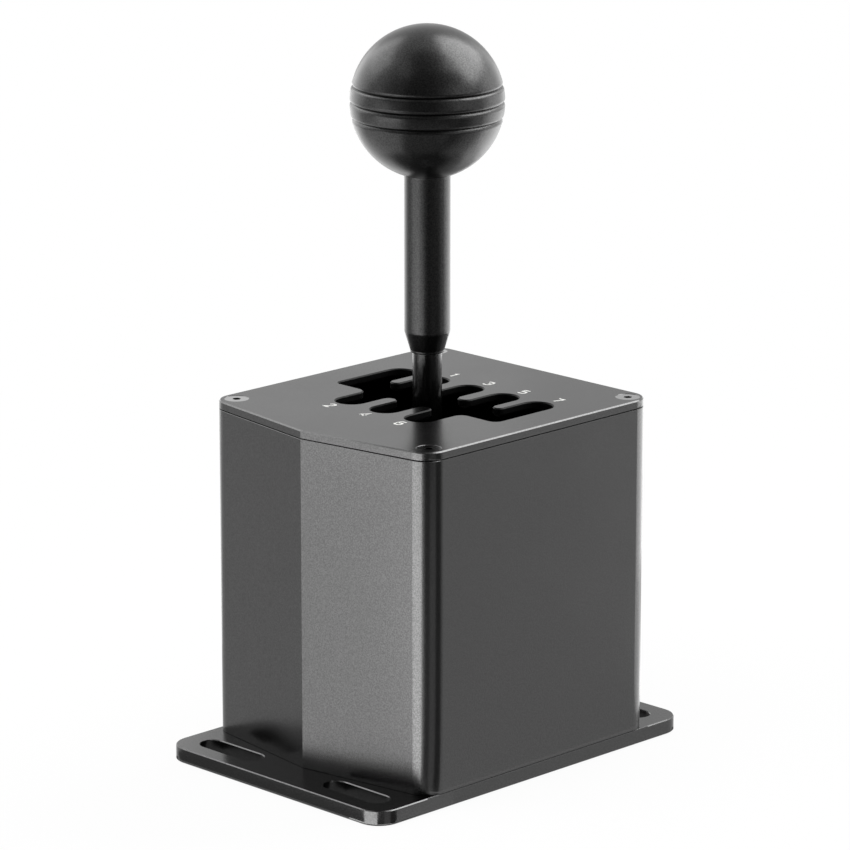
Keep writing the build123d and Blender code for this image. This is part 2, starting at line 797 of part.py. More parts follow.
def select_stub(side):
    """A shaft stub pressed into the cradle, with a shoulder that faces its bearing."""
    stub_start = ring_outer_y - stub_root
    shoulder_end = stand_inner_y - moving_gap
    stub_end = stand_outer_y - stub_recess
    with BuildPart() as stub:
        with BuildSketch(Plane.XY):
            with BuildLine():
                Polyline(
                    (0, side * stub_start),
                    (axle_radius, side * stub_start),
                    (axle_radius, side * ring_outer_y),
                    (stub_shoulder_radius, side * ring_outer_y),
                    (stub_shoulder_radius, side * shoulder_end),
                    (axle_radius, side * shoulder_end),
                    (axle_radius, side * (stub_end - axle_chamfer)),
                    (axle_radius - axle_chamfer, side * stub_end),
                    (0, side * stub_end),
                    close=True,
                )
            make_face()
        revolve(axis=Axis.Y)
    return stub.part.moved(Location((0, 0, pivot_z)))


with BuildPart() as front_select_stub:
    add(select_stub(-1))
front_select_stub.part.label = "front_select_stub"
export_step(front_select_stub.part, "parts/front_select_stub.step")

with BuildPart() as rear_select_stub:
    add(select_stub(1))
rear_select_stub.part.label = "rear_select_stub"
export_step(rear_select_stub.part, "parts/rear_select_stub.step")

with BuildPart() as select_magnet:
    with BuildSketch(facing_back(0, stand_outer_y - stub_recess, pivot_z)):
        Circle(magnet_radius)
    extrude(amount=magnet_length)
select_magnet.part.label = "select_magnet"
export_step(select_magnet.part, "parts/select_magnet.step")

# Shift bushes: flanged plain bushes in the cradle's side walls
with BuildPart() as shift_bushes:
    for side, facing in ((-1, facing_right), (1, facing_left)):
        with BuildSketch(facing(side * ring_outer_x, 0, pivot_z)):
            Circle(bush_radius)
        extrude(amount=ring_wall_x)
        with BuildSketch(facing(side * ring_inner_x, 0, pivot_z)):
            Circle(bush_flange_radius)
        extrude(amount=bush_flange_thickness)
        with BuildSketch(facing(side * ring_outer_x, 0, pivot_z)):
            Circle(axle_radius + running_gap)
        extrude(amount=ring_wall_x + bush_flange_thickness, mode=Mode.SUBTRACT)
shift_bushes.part.label = "shift_bushes"
export_step(shift_bushes.part, "parts/shift_bushes.step")

# Detent bridge: two legs under the cradle and a web whose arc is centred on the pivot
with BuildPart() as detent_bridge:
    with BuildSketch(Plane.YZ) as bridge_face:
        with Locations((0, (bridge_bottom + ring_bottom) / 2)):
            Rectangle(2 * ring_outer_y, ring_bottom - bridge_bottom)
        fillet(bridge_face.vertices().group_by(Axis.Y)[0], radius=bridge_corner_radius)
    extrude(amount=bridge_half_width, both=True)
    with BuildSketch(Plane.YZ):
        with Locations((0, pivot_z)):
            Circle(detent_radius)
            Rectangle(2 * ring_inner_y, 2 * detent_radius, mode=Mode.INTERSECT)
        notch_centre = detent_radius + notch_depth - notch_radius
        for angle in (-shift_angle, 0, shift_angle):
            with Locations((notch_centre * sin(angle), pivot_z - notch_centre * cos(angle))):
                Circle(notch_radius)
    extrude(amount=bridge_half_width, both=True, mode=Mode.SUBTRACT)
    with BuildSketch(Plane.XY.offset(ring_bottom)):
        with Locations(*bridge_screw_places):
            Circle(m3_shank_radius + seat_gap)
    extrude(amount=-(bridge_screw_length - ring_height + cap_pocket_depth) - seat_gap, mode=Mode.SUBTRACT)
detent_bridge.part.label = "detent_bridge"
export_step(detent_bridge.part, "parts/detent_bridge.step")

bridge_screw = cap_screw(m3_shank_radius, m3_cap_radius, m3_cap_height, bridge_screw_length, m3_socket_width)
with BuildPart() as bridge_screws:
    with Locations(*[(x, y, ring_top - cap_pocket_depth) for x, y in bridge_screw_places]):
        add(bridge_screw)
bridge_screws.part.label = "bridge_screws"
export_step(bridge_screws.part, "parts/bridge_screws.step")

# Drive pin: a ball on a stem under the bridge, which pushes the centring slider
with BuildPart() as drive_pin:
    with BuildSketch(Plane.XZ):
        with Locations((0, drive_ball_z)):
            Circle(drive_ball_radius)
        with Locations((0, drive_ball_z + drive_stem_length / 2)):
            Rectangle(2 * drive_stem_radius, drive_stem_length)
        with Locations((-drive_ball_radius / 2, (drive_ball_z + bridge_bottom) / 2)):
            Rectangle(drive_ball_radius, 2 * drive_ball_radius + drive_stem_length, mode=Mode.SUBTRACT)
    revolve(axis=Axis.Z)
drive_pin.part.label = "drive_pin"
export_step(drive_pin.part, "parts/drive_pin.step")

# Shift sensor on the cradle's right side
shift_board_face = facing_right(ring_outer_x + boss_height, 0, pivot_z)
shift_sensor_board = sensor_board(shift_board_face)
shift_sensor_board.part.label = "shift_sensor_board"
export_step(shift_sensor_board.part, "parts/shift_sensor_board.step")

shift_chip_face = facing_left(ring_outer_x + boss_height, 0, pivot_z)
shift_sensor_chip = square_on(shift_chip_face, sensor_chip_size, sensor_chip_thickness)
shift_sensor_chip.part.label = "shift_sensor_chip"
export_step(shift_sensor_chip.part, "parts/shift_sensor_chip.step")

shift_sensor_screws = sensor_screws(facing_right(ring_outer_x + boss_height + board_thickness, 0, pivot_z))
shift_sensor_screws.part.label = "shift_sensor_screws"
export_step(shift_sensor_screws.part, "parts/shift_sensor_screws.step")

# Lever hub: a block on the shift shaft, with a neck for the rod and a seat for the detent barrel
neck_top = pivot_z + hub_half_z + hub_neck_height
rod_bottom = pivot_z + rod_seat_height
clamp_z = neck_top - hub_neck_height / 2
with BuildPart() as lever_hub:
    with BuildSketch(Plane.XY.offset(pivot_z - hub_half_z)):
        RectangleRounded(2 * hub_half_x, 2 * hub_half_y, hub_edge_radius)
    extrude(amount=2 * hub_half_z)
    with BuildSketch(Plane.XY.offset(pivot_z + hub_half_z)):
        Circle(hub_neck_radius)
    extrude(amount=hub_neck_height)
    with BuildSketch(facing_right(-hub_half_x, 0, pivot_z)):
        Circle(axle_radius + seat_gap)
    extrude(amount=2 * hub_half_x, mode=Mode.SUBTRACT)
    with BuildSketch(Plane.XY.offset(rod_bottom)):
        Circle(rod_radius + seat_gap)
    extrude(amount=neck_top - rod_bottom, mode=Mode.SUBTRACT)
    with BuildSketch(Plane.XY.offset(pivot_z - hub_half_z)):
        Circle(barrel_radius + seat_gap)
    extrude(amount=hub_half_z - barrel_head + seat_gap, mode=Mode.SUBTRACT)
    with BuildSketch(facing_back(0, -hub_half_y, 0)):
        with Locations((0, pivot_z), (0, clamp_z)):
            Circle(set_screw_radius + seat_gap)
    extrude(amount=hub_half_y - axle_radius, mode=Mode.SUBTRACT)
lever_hub.part.label = "lever_hub"
export_step(lever_hub.part, "parts/lever_hub.step")


def set_screw(outer_y, inner_y, z):
    """A headless screw along Y, with a hexagon socket at its outer end."""
    length = inner_y - outer_y
    with BuildPart() as screw:
        with BuildSketch(facing_back(0, outer_y, z)):
            Circle(set_screw_radius)
        extrude(amount=length)
        with BuildSketch(facing_back(0, outer_y, z)):
            RegularPolygon(radius=set_screw_socket / 2, side_count=6, major_radius=False)
        extrude(amount=length / 2, mode=Mode.SUBTRACT)
    return screw.part


with BuildPart() as hub_set_screws:
    add(set_screw(-hub_half_y + head_recess, -axle_radius - seat_gap, pivot_z))
    add(set_screw(-hub_neck_radius + head_recess, -rod_radius - seat_gap, clamp_z))
hub_set_screws.part.label = "hub_set_screws"
export_step(hub_set_screws.part, "parts/hub_set_screws.step")

shift_axle_left = -ring_outer_x - shift_axle_overhang
shift_axle_right = ring_outer_x - stub_recess
shift_axle = shaft(facing_right(shift_axle_left, 0, pivot_z), axle_radius, shift_axle_right - shift_axle_left)
shift_axle.part.label = "shift_axle"
export_step(shift_axle.part, "parts/shift_axle.step")

with BuildPart() as shift_magnet:
    with BuildSketch(facing_right(shift_axle_right, 0, pivot_z)):
        Circle(magnet_radius)
    extrude(amount=magnet_length)
shift_magnet.part.label = "shift_magnet"
export_step(shift_magnet.part, "parts/shift_magnet.step")

# Lever rod, its sleeve and the ball knob on a threaded insert
with BuildPart() as lever_rod:
    with BuildSketch(Plane.XY.offset(rod_bottom + seat_gap)):
        Circle(rod_radius)
    extrude(amount=sleeve_top - rod_bottom - seat_gap)
    with BuildSketch(Plane.XY.offset(sleeve_top)):
        Circle(rod_thread_radius)
    extrude(amount=rod_thread_length)
lever_rod.part.label = "lever_rod"
export_step(lever_rod.part, "parts/lever_rod.step")

with BuildPart() as lever_sleeve:
    with BuildSketch(Plane.XZ) as sleeve_half:
        with BuildLine():
            Polyline(
                (rod_radius + seat_gap, sleeve_foot_height),
                (sleeve_foot_radius, sleeve_foot_height),
                (sleeve_foot_radius, sleeve_foot_height + sleeve_rim_height),
                (sleeve_radius, sleeve_foot_height + sleeve_taper_height),
                (sleeve_radius, sleeve_top),
                (rod_radius + seat_gap, sleeve_top),
                close=True,
            )
        make_face()
        outer = sleeve_half.vertices().filter_by(lambda v: v.X > rod_radius + 2 * seat_gap)
        fillet(outer.sort_by(Axis.Y)[2], radius=sleeve_edge_radius)
        outer = sleeve_half.vertices().filter_by(lambda v: v.X > rod_radius + 2 * seat_gap)
        fillet(outer.sort_by(Axis.Y)[0], radius=sleeve_rim_radius)
    revolve(axis=Axis.Z)
lever_sleeve.part.label = "lever_sleeve"
export_step(lever_sleeve.part, "parts/lever_sleeve.step")

insert_length = rod_thread_length + insert_tip_gap
groove_side = knob_groove_width / sqrt(2)
groove_angle = degrees(asin(knob_groove_pitch / knob_radius))
with BuildPart() as ball_knob:
    with BuildSketch(Plane.XZ) as knob_half:
        with Locations((0, knob_z)):
            Circle(knob_radius)
        with Locations((-knob_radius, knob_z)):
            Rectangle(2 * knob_radius, 2 * knob_radius, mode=Mode.SUBTRACT)
        with Locations((0, knob_z - knob_flat_drop - knob_radius)):
            Rectangle(2 * knob_radius, 2 * knob_radius, mode=Mode.SUBTRACT)
        with Locations((0, sleeve_top + insert_length / 2)):
            Rectangle(2 * (insert_radius + seat_gap), insert_length + 2 * seat_gap, mode=Mode.SUBTRACT)
        with Locations((0, knob_z)):
            with PolarLocations(knob_radius, 3, -groove_angle, 2 * groove_angle, endpoint=True):
                Rectangle(groove_side, groove_side, rotation=45, mode=Mode.SUBTRACT)
        lips = knob_half.vertices().filter_by(
            lambda v: v.X > knob_radius - 2 * knob_groove_width
            and hypot(v.X, v.Y - knob_z) > knob_radius - seat_gap
        )
        fillet(lips, radius=knob_groove_lip_radius)
    revolve(axis=Axis.Z)
ball_knob.part.label = "ball_knob"
export_step(ball_knob.part, "parts/ball_knob.step")

with BuildPart() as knob_insert:
    with BuildSketch(Plane.XY.offset(sleeve_top)):
        Circle(insert_radius)
    extrude(amount=insert_length)
    with BuildSketch(Plane.XY.offset(sleeve_top)):
        Circle(rod_thread_radius + seat_gap)
    extrude(amount=rod_thread_length + seat_gap, mode=Mode.SUBTRACT)
knob_insert.part.label = "knob_insert"
export_step(knob_insert.part, "parts/knob_insert.step")

# Detent barrel in the hub's foot, with the sprung plunger that rides on the bridge's arc
barrel_top = pivot_z - barrel_head
barrel_bottom = pivot_z - barrel_foot
spring_room_top = barrel_top - barrel_cap
with BuildPart() as detent_barrel:
    with BuildSketch(Plane.XY.offset(barrel_bottom)):
        Circle(barrel_radius)
    extrude(amount=barrel_top - barrel_bottom)
    with BuildSketch(Plane.XY.offset(pivot_z - hub_half_z)):
        Circle(barrel_flange_radius)
    extrude(amount=-barrel_flange_thickness)
    with BuildSketch(Plane.XY.offset(barrel_bottom + barrel_floor)):
        Circle(plunger_head_radius + slide_gap)
    extrude(amount=spring_room_top - barrel_bottom - barrel_floor, mode=Mode.SUBTRACT)
    with BuildSketch(Plane.XY.offset(barrel_bottom)):
        Circle(plunger_radius + slide_gap)
    extrude(amount=barrel_floor, mode=Mode.SUBTRACT)
detent_barrel.part.label = "detent_barrel"
export_step(detent_barrel.part, "parts/detent_barrel.step")

nose_z = pivot_z - detent_radius + crest_gap + plunger_radius
head_bottom = barrel_bottom + barrel_floor + plunger_head_drop
head_top = head_bottom + plunger_head_thickness
with BuildPart() as detent_plunger:
    with BuildSketch(Plane.XZ):
        with Locations((0, nose_z)):
            Circle(plunger_radius)
        with Locations((0, (nose_z + head_bottom) / 2)):
            Rectangle(2 * plunger_radius, head_bottom - nose_z)
        with Locations((0, (head_bottom + head_top) / 2)):
            Rectangle(2 * plunger_head_radius, plunger_head_thickness)
        with Locations((-plunger_head_radius, (nose_z + head_top) / 2)):
            Rectangle(2 * plunger_head_radius, 2 * (head_top - nose_z), mode=Mode.SUBTRACT)
    revolve(axis=Axis.Z)
detent_plunger.part.label = "detent_plunger"
export_step(detent_plunger.part, "parts/detent_plunger.step")

detent_spring = tube(
    Plane.XY.offset(head_top), detent_spring_radius, detent_spring_radius - detent_spring_wall,
    spring_room_top - head_top,
)
detent_spring.part.label = "detent_spring"
export_step(detent_spring.part, "parts/detent_spring.step")

# Centring slider: a block on the guide rod, with a fork for the drive pin's ball
with BuildPart() as centring_slider:
    slider_bottom = base_thickness + slider_foot_gap
    fork_top = drive_ball_z + fork_rise
    fork_floor = drive_ball_z - drive_ball_radius - drive_floor_gap
    with BuildSketch(Plane.XZ) as slider_face:
        with Locations((0, (slider_bottom + fork_top) / 2)):
            Rectangle(2 * slider_half_x, fork_top - slider_bottom)
        fillet(slider_face.vertices(), radius=slider_corner_radius)
        with Locations((0, (fork_floor + fork_top + overrun) / 2)):
            fork_width = 2 * (drive_ball_radius + drive_fork_gap)
            Rectangle(fork_width, fork_top + overrun - fork_floor, mode=Mode.SUBTRACT)
    extrude(amount=slider_half_y, both=True)
    with BuildSketch(facing_right(-slider_half_x, 0, guide_z)):
        Circle(guide_rod_radius + slide_gap)
    extrude(amount=2 * slider_half_x, mode=Mode.SUBTRACT)
centring_slider.part.label = "centring_slider"
export_step(centring_slider.part, "parts/centring_slider.step")
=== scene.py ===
"""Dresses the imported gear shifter: real finishes, wound springs, bearings, circuit boards,
socket contacts and gear numerals, and the studio that it stands in."""

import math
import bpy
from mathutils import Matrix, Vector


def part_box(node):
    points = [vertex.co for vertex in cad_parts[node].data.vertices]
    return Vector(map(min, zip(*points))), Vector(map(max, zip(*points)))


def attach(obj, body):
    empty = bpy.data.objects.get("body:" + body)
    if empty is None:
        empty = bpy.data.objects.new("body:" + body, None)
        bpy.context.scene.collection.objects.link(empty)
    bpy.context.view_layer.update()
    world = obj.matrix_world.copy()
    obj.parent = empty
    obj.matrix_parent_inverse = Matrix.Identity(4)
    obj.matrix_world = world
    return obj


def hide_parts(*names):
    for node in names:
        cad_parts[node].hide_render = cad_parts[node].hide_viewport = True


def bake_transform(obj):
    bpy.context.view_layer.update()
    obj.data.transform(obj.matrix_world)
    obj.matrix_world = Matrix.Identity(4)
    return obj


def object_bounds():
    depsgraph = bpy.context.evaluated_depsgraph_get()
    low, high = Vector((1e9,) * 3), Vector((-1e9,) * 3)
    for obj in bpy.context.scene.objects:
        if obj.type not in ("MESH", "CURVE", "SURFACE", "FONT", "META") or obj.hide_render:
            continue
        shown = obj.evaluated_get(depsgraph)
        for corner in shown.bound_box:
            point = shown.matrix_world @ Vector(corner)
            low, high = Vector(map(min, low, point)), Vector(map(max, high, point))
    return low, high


bl_info = {
    "name": "Rig Gear Shifter",
    "version": (1, 0, 0),
    "blender": (4, 5, 0),
    "location": "View3D > Sidebar > Shifter",
    "description": "Finishes and small pieces for a gear shifter, and a studio to look at it in",
    "category": "Object",
}

import bmesh
import bpy
from bpy.props import FloatProperty, FloatVectorProperty, IntProperty, PointerProperty
from mathutils import Matrix, Vector

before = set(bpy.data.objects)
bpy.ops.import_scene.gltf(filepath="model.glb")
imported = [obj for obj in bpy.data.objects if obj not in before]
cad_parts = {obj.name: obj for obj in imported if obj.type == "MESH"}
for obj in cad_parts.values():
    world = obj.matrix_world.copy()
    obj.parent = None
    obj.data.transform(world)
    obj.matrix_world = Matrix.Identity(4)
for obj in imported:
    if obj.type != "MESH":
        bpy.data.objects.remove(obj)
cad_low, cad_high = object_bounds()

MM = 0.001

# The finest unevenness that still shows in a picture of the whole shifter
SHOWN_GRAIN = 0.45 * MM

# Faces that meet at more than this stay sharp under smooth shading
SHARP_ANGLE = math.radians(35)

# The mix node's sockets for colours, which share their names with the ones for numbers
MIX_FACTOR, MIX_A, MIX_B, MIX_COLOUR = 0, 6, 7, 2

# The way round a four-cornered card: which of its two sides, and which of its two ends
CARD_ROUND = ((0, 0), (1, 0), (1, 1), (0, 1))


def linear(hex_code):
    """An sRGB hex colour as linear red, green and blue."""
    levels = [int(hex_code[i : i + 2], 16) / 255 for i in (0, 2, 4)]
    return tuple(v / 12.92 if v <= 0.04045 else ((v + 0.055) / 1.055) ** 2.4 for v in levels)


class ShifterFinishes(bpy.types.PropertyGroup):
    """Colours and gloss of the surfaces that show."""

    housing_colour: FloatVectorProperty(
        name="Housing", description="Dye of the anodised housing",
        subtype="COLOR", default=linear("4D4D4D"),
    )
    housing_roughness: FloatProperty(
        name="Housing roughness", description="How far the blasting spreads a reflection",
        default=0.22, min=0, max=1,
    )
    base_colour: FloatVectorProperty(
        name="Base plate", description="Dye of the anodised base plate",
        subtype="COLOR", default=linear("4B4B4B"),
    )
    lever_colour: FloatVectorProperty(
        name="Lever", description="Black of the knob, sleeve and rod",
        subtype="COLOR", default=linear("383838"),
    )
    lever_roughness: FloatProperty(
        name="Lever roughness", description="Satin of the knob and sleeve", default=0.3, min=0, max=1
    )
    ink_colour: FloatVectorProperty(
        name="Numerals", description="Ink of the gear numerals",
        subtype="COLOR", default=linear("E9E9E6"),
    )


class ShifterNumerals(bpy.types.PropertyGroup):
    """Size and places of the numerals beside the gate."""

    height: FloatProperty(name="Height", description="Height of a numeral", default=3.7 * MM, unit="LENGTH")
    width: FloatProperty(name="Width", description="Width of a numeral", default=2.35 * MM, unit="LENGTH")
    stroke: FloatProperty(
        name="Stroke", description="Width of a numeral's line", default=0.7 * MM, unit="LENGTH"
    )
    ink: FloatProperty(
        name="Ink", description="Thickness of the printed ink", default=0.03 * MM, unit="LENGTH"
    )
    inner_pitch: FloatProperty(
        name="Inner pitch", description="From the middle column to the next",
        default=16.1 * MM, unit="LENGTH",
    )
    outer_pitch: FloatProperty(
        name="Outer pitch", description="From there to the outer column",
        default=15.3 * MM, unit="LENGTH",
    )
    far_row: FloatProperty(
        name="Far row", description="From the gate's middle to the odd numerals",
        default=28.8 * MM, unit="LENGTH",
    )
    near_row: FloatProperty(
        name="Near row", description="From the gate's middle to the even numerals",
        default=28.3 * MM, unit="LENGTH",
    )


class ShifterSprings(bpy.types.PropertyGroup):
    """Wire and turns of the wound springs."""

    centring_wire: FloatProperty(
        name="Centring wire", description="Wire of the centring springs",
        default=1.2 * MM, unit="LENGTH",
    )
    centring_turns: IntProperty(
        name="Centring turns", description="Turns of a centring spring", default=12, min=3
    )
    detent_wire: FloatProperty(
        name="Detent wire", description="Wire of the detent spring", default=0.7 * MM, unit="LENGTH"
    )
    detent_turns: IntProperty(
        name="Detent turns", description="Turns of the detent spring", default=6, min=3
    )


class ShifterStudio(bpy.types.PropertyGroup):
    """The camera that the photograph was matched with, and the lamps."""

    azimuth: FloatProperty(
        name="Azimuth", description="Camera's turn from straight ahead",
        default=math.radians(45.04), unit="ROTATION",
    )
    elevation: FloatProperty(
        name="Elevation", description="Camera's height above level",
        default=math.radians(14.69), unit="ROTATION",
    )
    distance: FloatProperty(
        name="Distance", description="Camera to target", default=1535.8 * MM, unit="LENGTH"
    )
    target_x: FloatProperty(
        name="Target X", description="What the camera looks at", default=-1.04 * MM, unit="LENGTH"
    )
    target_z: FloatProperty(
        name="Target Z", description="What the camera looks at", default=108.99 * MM, unit="LENGTH"
    )
    lens: FloatProperty(name="Lens", description="Focal length in millimetres", default=199.16)
    front_lamp: FloatProperty(name="Front lamp", description="Power in watts", default=3.0)
    rear_lamp: FloatProperty(name="Rear lamp", description="Power in watts", default=3.5)
    room_light: FloatProperty(
        name="Room light", description="Level of the light from all round", default=0.75
    )


def set_inputs(tree, node, inputs):
    """Sets sockets of a node to values, or links other sockets to them."""
    for name, value in inputs.items():
        if isinstance(value, bpy.types.NodeSocket):
            tree.links.new(value, node.inputs[name])
        else:
            node.inputs[name].default_value = value


def add_node(tree, kind, settings=None, inputs=None):
    """Adds one shader node, sets its options, and sets or links its sockets."""
    made = tree.nodes.new(kind)
    for name, value in (settings or {}).items():
        setattr(made, name, value)
    set_inputs(tree, made, inputs or {})
    return made


def emptied_tree(owner):
    """The node tree of a new material or world, with nothing in it."""
    owner.use_nodes = True
    owner.node_tree.nodes.clear()
    return owner.node_tree


def new_material(name):
    """A material with its tree, its surface shader and the position on the piece in metres."""
    material = bpy.data.materials.new(name)
    tree = emptied_tree(material)
    shader = add_node(tree, "ShaderNodeBsdfPrincipled")
    add_node(tree, "ShaderNodeOutputMaterial", inputs={"Surface": shader.outputs["BSDF"]})
    place = add_node(tree, "ShaderNodeTexCoord").outputs["Object"]
    return material, tree, shader, place


def rgba(colour, share=1.0):
    """A colour, lightened or darkened by a share, with full alpha."""
    return (*[min(1.0, c * share) for c in colour], 1.0)


def dyed_metal(name, colour, unevenness, relief_strength):
    """Metal under a thin dark layer. The layer's unevenness is finer than the shown grain, which
    stands for it. The gloss comes from the finish that builds on this."""
    material, tree, shader, place = new_material(name)
    grain = add_node(
        tree, "ShaderNodeTexNoise", inputs={"Vector": place, "Scale": 1 / SHOWN_GRAIN, "Detail": 1}
    ).outputs["Fac"]
    pits = add_node(
        tree, "ShaderNodeMapRange", inputs={"Value": grain, "From Min": 0.34, "From Max": 0.66}
    ).outputs["Result"]
    thin, thick = rgba(colour, 1 - unevenness), rgba(colour, 1 + unevenness)
    dye = add_node(
        tree, "ShaderNodeMix", {"data_type": "RGBA"}, {MIX_FACTOR: pits, MIX_A: thin, MIX_B: thick}
    )
    relief = add_node(
        tree,
        "ShaderNodeBump",
        inputs={"Strength": relief_strength, "Distance": 0.03 * MM, "Height": grain},
    )
    outcome = {"Base Color": dye.outputs[MIX_COLOUR], "Normal": relief.outputs["Normal"], "Metallic": 1.0}
    set_inputs(tree, shader, outcome)
    return material, tree, shader, place, grain


def blasted_anodised(name, colour, roughness):
    """Aluminium, bead-blasted and then anodised in a dark dye. The blasting leaves a fine even grain,
    of about 0.1 mm in the real one, that breaks up highlights."""
    material, tree, shader, place, _ = dyed_metal(name, colour, 0.16, 0.02)
    # Patches as wide as a thumb, where handling changes the gloss a little
    handling = add_node(
        tree, "ShaderNodeTexNoise", inputs={"Vector": place, "Scale": 1 / (28 * MM), "Detail": 2}
    ).outputs["Fac"]
    spread = {"To Min": roughness - 0.02, "To Max": roughness + 0.02}
    gloss = add_node(
        tree, "ShaderNodeMapRange", inputs={"Value": handling, "From Min": 0.3, "From Max": 0.7, **spread}
    )
    # The dyed layer keeps a skimming view from going fully white
    tint = (0.86, 0.86, 0.86, 1)
    set_inputs(tree, shader, {"Roughness": gloss.outputs["Result"], "Specular Tint": tint})
    return material


def shade_and_dull_where(material, mask, darken, roughness):
    """Paints shade into a finish, darker and rougher where a mask is one, over what it looks like elsewhere.
    """
    tree = material.node_tree
    shader = tree.nodes["Principled BSDF"]
    colour, gloss = shader.inputs["Base Color"], shader.inputs["Roughness"]
    darker = add_node(
        tree,
        "ShaderNodeMix",
        {"data_type": "RGBA", "blend_type": "MULTIPLY"},
        {MIX_FACTOR: mask, MIX_A: colour.links[0].from_socket, MIX_B: (darken, darken, darken, 1)},
    )
    duller = add_node(
        tree,
        "ShaderNodeMix",
        inputs={"Factor": mask, "A": gloss.links[0].from_socket, "B": roughness},
    )
    outcome = {"Base Color": darker.outputs[MIX_COLOUR], "Roughness": duller.outputs["Result"]}
    set_inputs(tree, shader, outcome)


def milled_gate(name, colour, roughness):
    """The gate plate: the housing's finish, with slots milled through it after the blasting.
    Their walls and broken edges are rougher and painted nearly black as shade, which draws the gate's
    outline."""
    gate_radius = 46 * MM
    steepest_top = 0.95
    material = blasted_anodised(name, colour, roughness)
    tree = material.node_tree
    place = add_node(tree, "ShaderNodeTexCoord").outputs
    flat = add_node(
        tree, "ShaderNodeVectorMath", {"operation": "MULTIPLY"}, {0: place["Object"], 1: (1, 1, 0)}
    )
    away = add_node(
        tree, "ShaderNodeVectorMath", {"operation": "LENGTH"}, {0: flat.outputs["Vector"]}
    )
    upright = add_node(tree, "ShaderNodeSeparateXYZ", inputs={"Vector": place["Normal"]})
    facing = add_node(tree, "ShaderNodeMath", {"operation": "ABSOLUTE"}, {0: upright.outputs["Z"]})
    near, steep = (
        add_node(tree, "ShaderNodeMath", {"operation": "LESS_THAN"}, {0: value, 1: limit}).outputs[0]
        for value, limit in ((away.outputs["Value"], gate_radius), (facing.outputs[0], steepest_top))
    )
    cut = add_node(tree, "ShaderNodeMath", {"operation": "MULTIPLY"}, {0: near, 1: steep})
    # Painted shade: the slots' walls and broken edges within the gate are darkened nearly black and dulled
    shade_and_dull_where(material, cut.outputs[0], 0.13, 0.45)
    return material


def socket_head(name, colour, roughness, head_top):
    """A stainless screw with a hexagon socket, whose inside is painted near black as shade."""
    material = brushed_metal(name, colour, roughness, 0.3, (1, 1, 1), 0.006)
    tree = material.node_tree
    place = add_node(tree, "ShaderNodeTexCoord").outputs["Object"]
    height = add_node(tree, "ShaderNodeSeparateXYZ", inputs={"Vector": place}).outputs["Z"]
    socket_shade = add_node(
        tree,
        "ShaderNodeMapRange",
        inputs={"Value": height, "From Min": head_top - 0.02 * MM, "From Max": head_top - 0.12 * MM},
    ).outputs["Result"]
    # Painted shade: below the head's top the socket is darkened to near black and dulled
    shade_and_dull_where(material, socket_shade, 0.015, 0.6)
    return material


def brushed_metal(name, colour, roughness, grain_mm, stretch, depth_mm):
    """A machined or drawn metal. The tool leaves lines along one direction, which stretch the
    highlights. A stretch of one all ways gives an even grain instead, for plated and ground parts."""
    material, tree, shader, place = new_material(name)
    drawn = add_node(tree, "ShaderNodeMapping", inputs={"Vector": place, "Scale": stretch}).outputs[0]
    lines = add_node(
        tree,
        "ShaderNodeTexNoise",
        inputs={"Vector": drawn, "Scale": 1 / (grain_mm * MM), "Detail": 2, "Roughness": 0.55},
    ).outputs["Fac"]
    dim, bright = rgba(colour, 0.9), rgba(colour, 1.08)
    tint = add_node(
        tree, "ShaderNodeMix", {"data_type": "RGBA"}, {MIX_FACTOR: lines, MIX_A: dim, MIX_B: bright}
    )
    gloss = add_node(
        tree,
        "ShaderNodeMapRange",
        inputs={"Value": lines, "To Min": roughness - 0.05, "To Max": roughness + 0.05},
    )
    relief = add_node(
        tree, "ShaderNodeBump", inputs={"Strength": 0.2, "Distance": depth_mm * MM, "Height": lines}
    )
    outcome = {"Base Color": tint.outputs[MIX_COLOUR], "Normal": relief.outputs["Normal"], "Metallic": 1.0}
    set_inputs(tree, shader, {"Roughness": gloss.outputs["Result"], **outcome})
    return material


def satin_black(name, colour, roughness):
    """Metal turned smooth and then dyed or oxidised black, which leaves a satin gloss."""
    material, tree, shader, _, grain = dyed_metal(name, colour, 0.25, 0.2)
    gloss = add_node(
        tree,
        "ShaderNodeMapRange",
        inputs={"Value": grain, "To Min": roughness - 0.04, "To Max": roughness + 0.04},
    )
    set_inputs(tree, shader, {"Roughness": gloss.outputs["Result"]})
    return material


def moulded_plastic(name, colour, roughness, grain_mm, depth_mm, ior):
    """Moulded or machined plastic: a spark-eroded grain from the mould, and a broad soft gloss."""
    material, tree, shader, place = new_material(name)
    grain = add_node(
        tree, "ShaderNodeTexNoise", inputs={"Vector": place, "Scale": 1 / (grain_mm * MM), "Detail": 3}
    ).outputs["Fac"]
    dim, bright = rgba(colour, 0.88), rgba(colour, 1.1)
    tint = add_node(
        tree, "ShaderNodeMix", {"data_type": "RGBA"}, {MIX_FACTOR: grain, MIX_A: dim, MIX_B: bright}
    )
    relief = add_node(
        tree, "ShaderNodeBump", inputs={"Strength": 0.3, "Distance": depth_mm * MM, "Height": grain}
    )
    outcome = {"Base Color": tint.outputs[MIX_COLOUR], "Normal": relief.outputs["Normal"]}
    set_inputs(tree, shader, {"Roughness": roughness, "IOR": ior, **outcome})
    return material


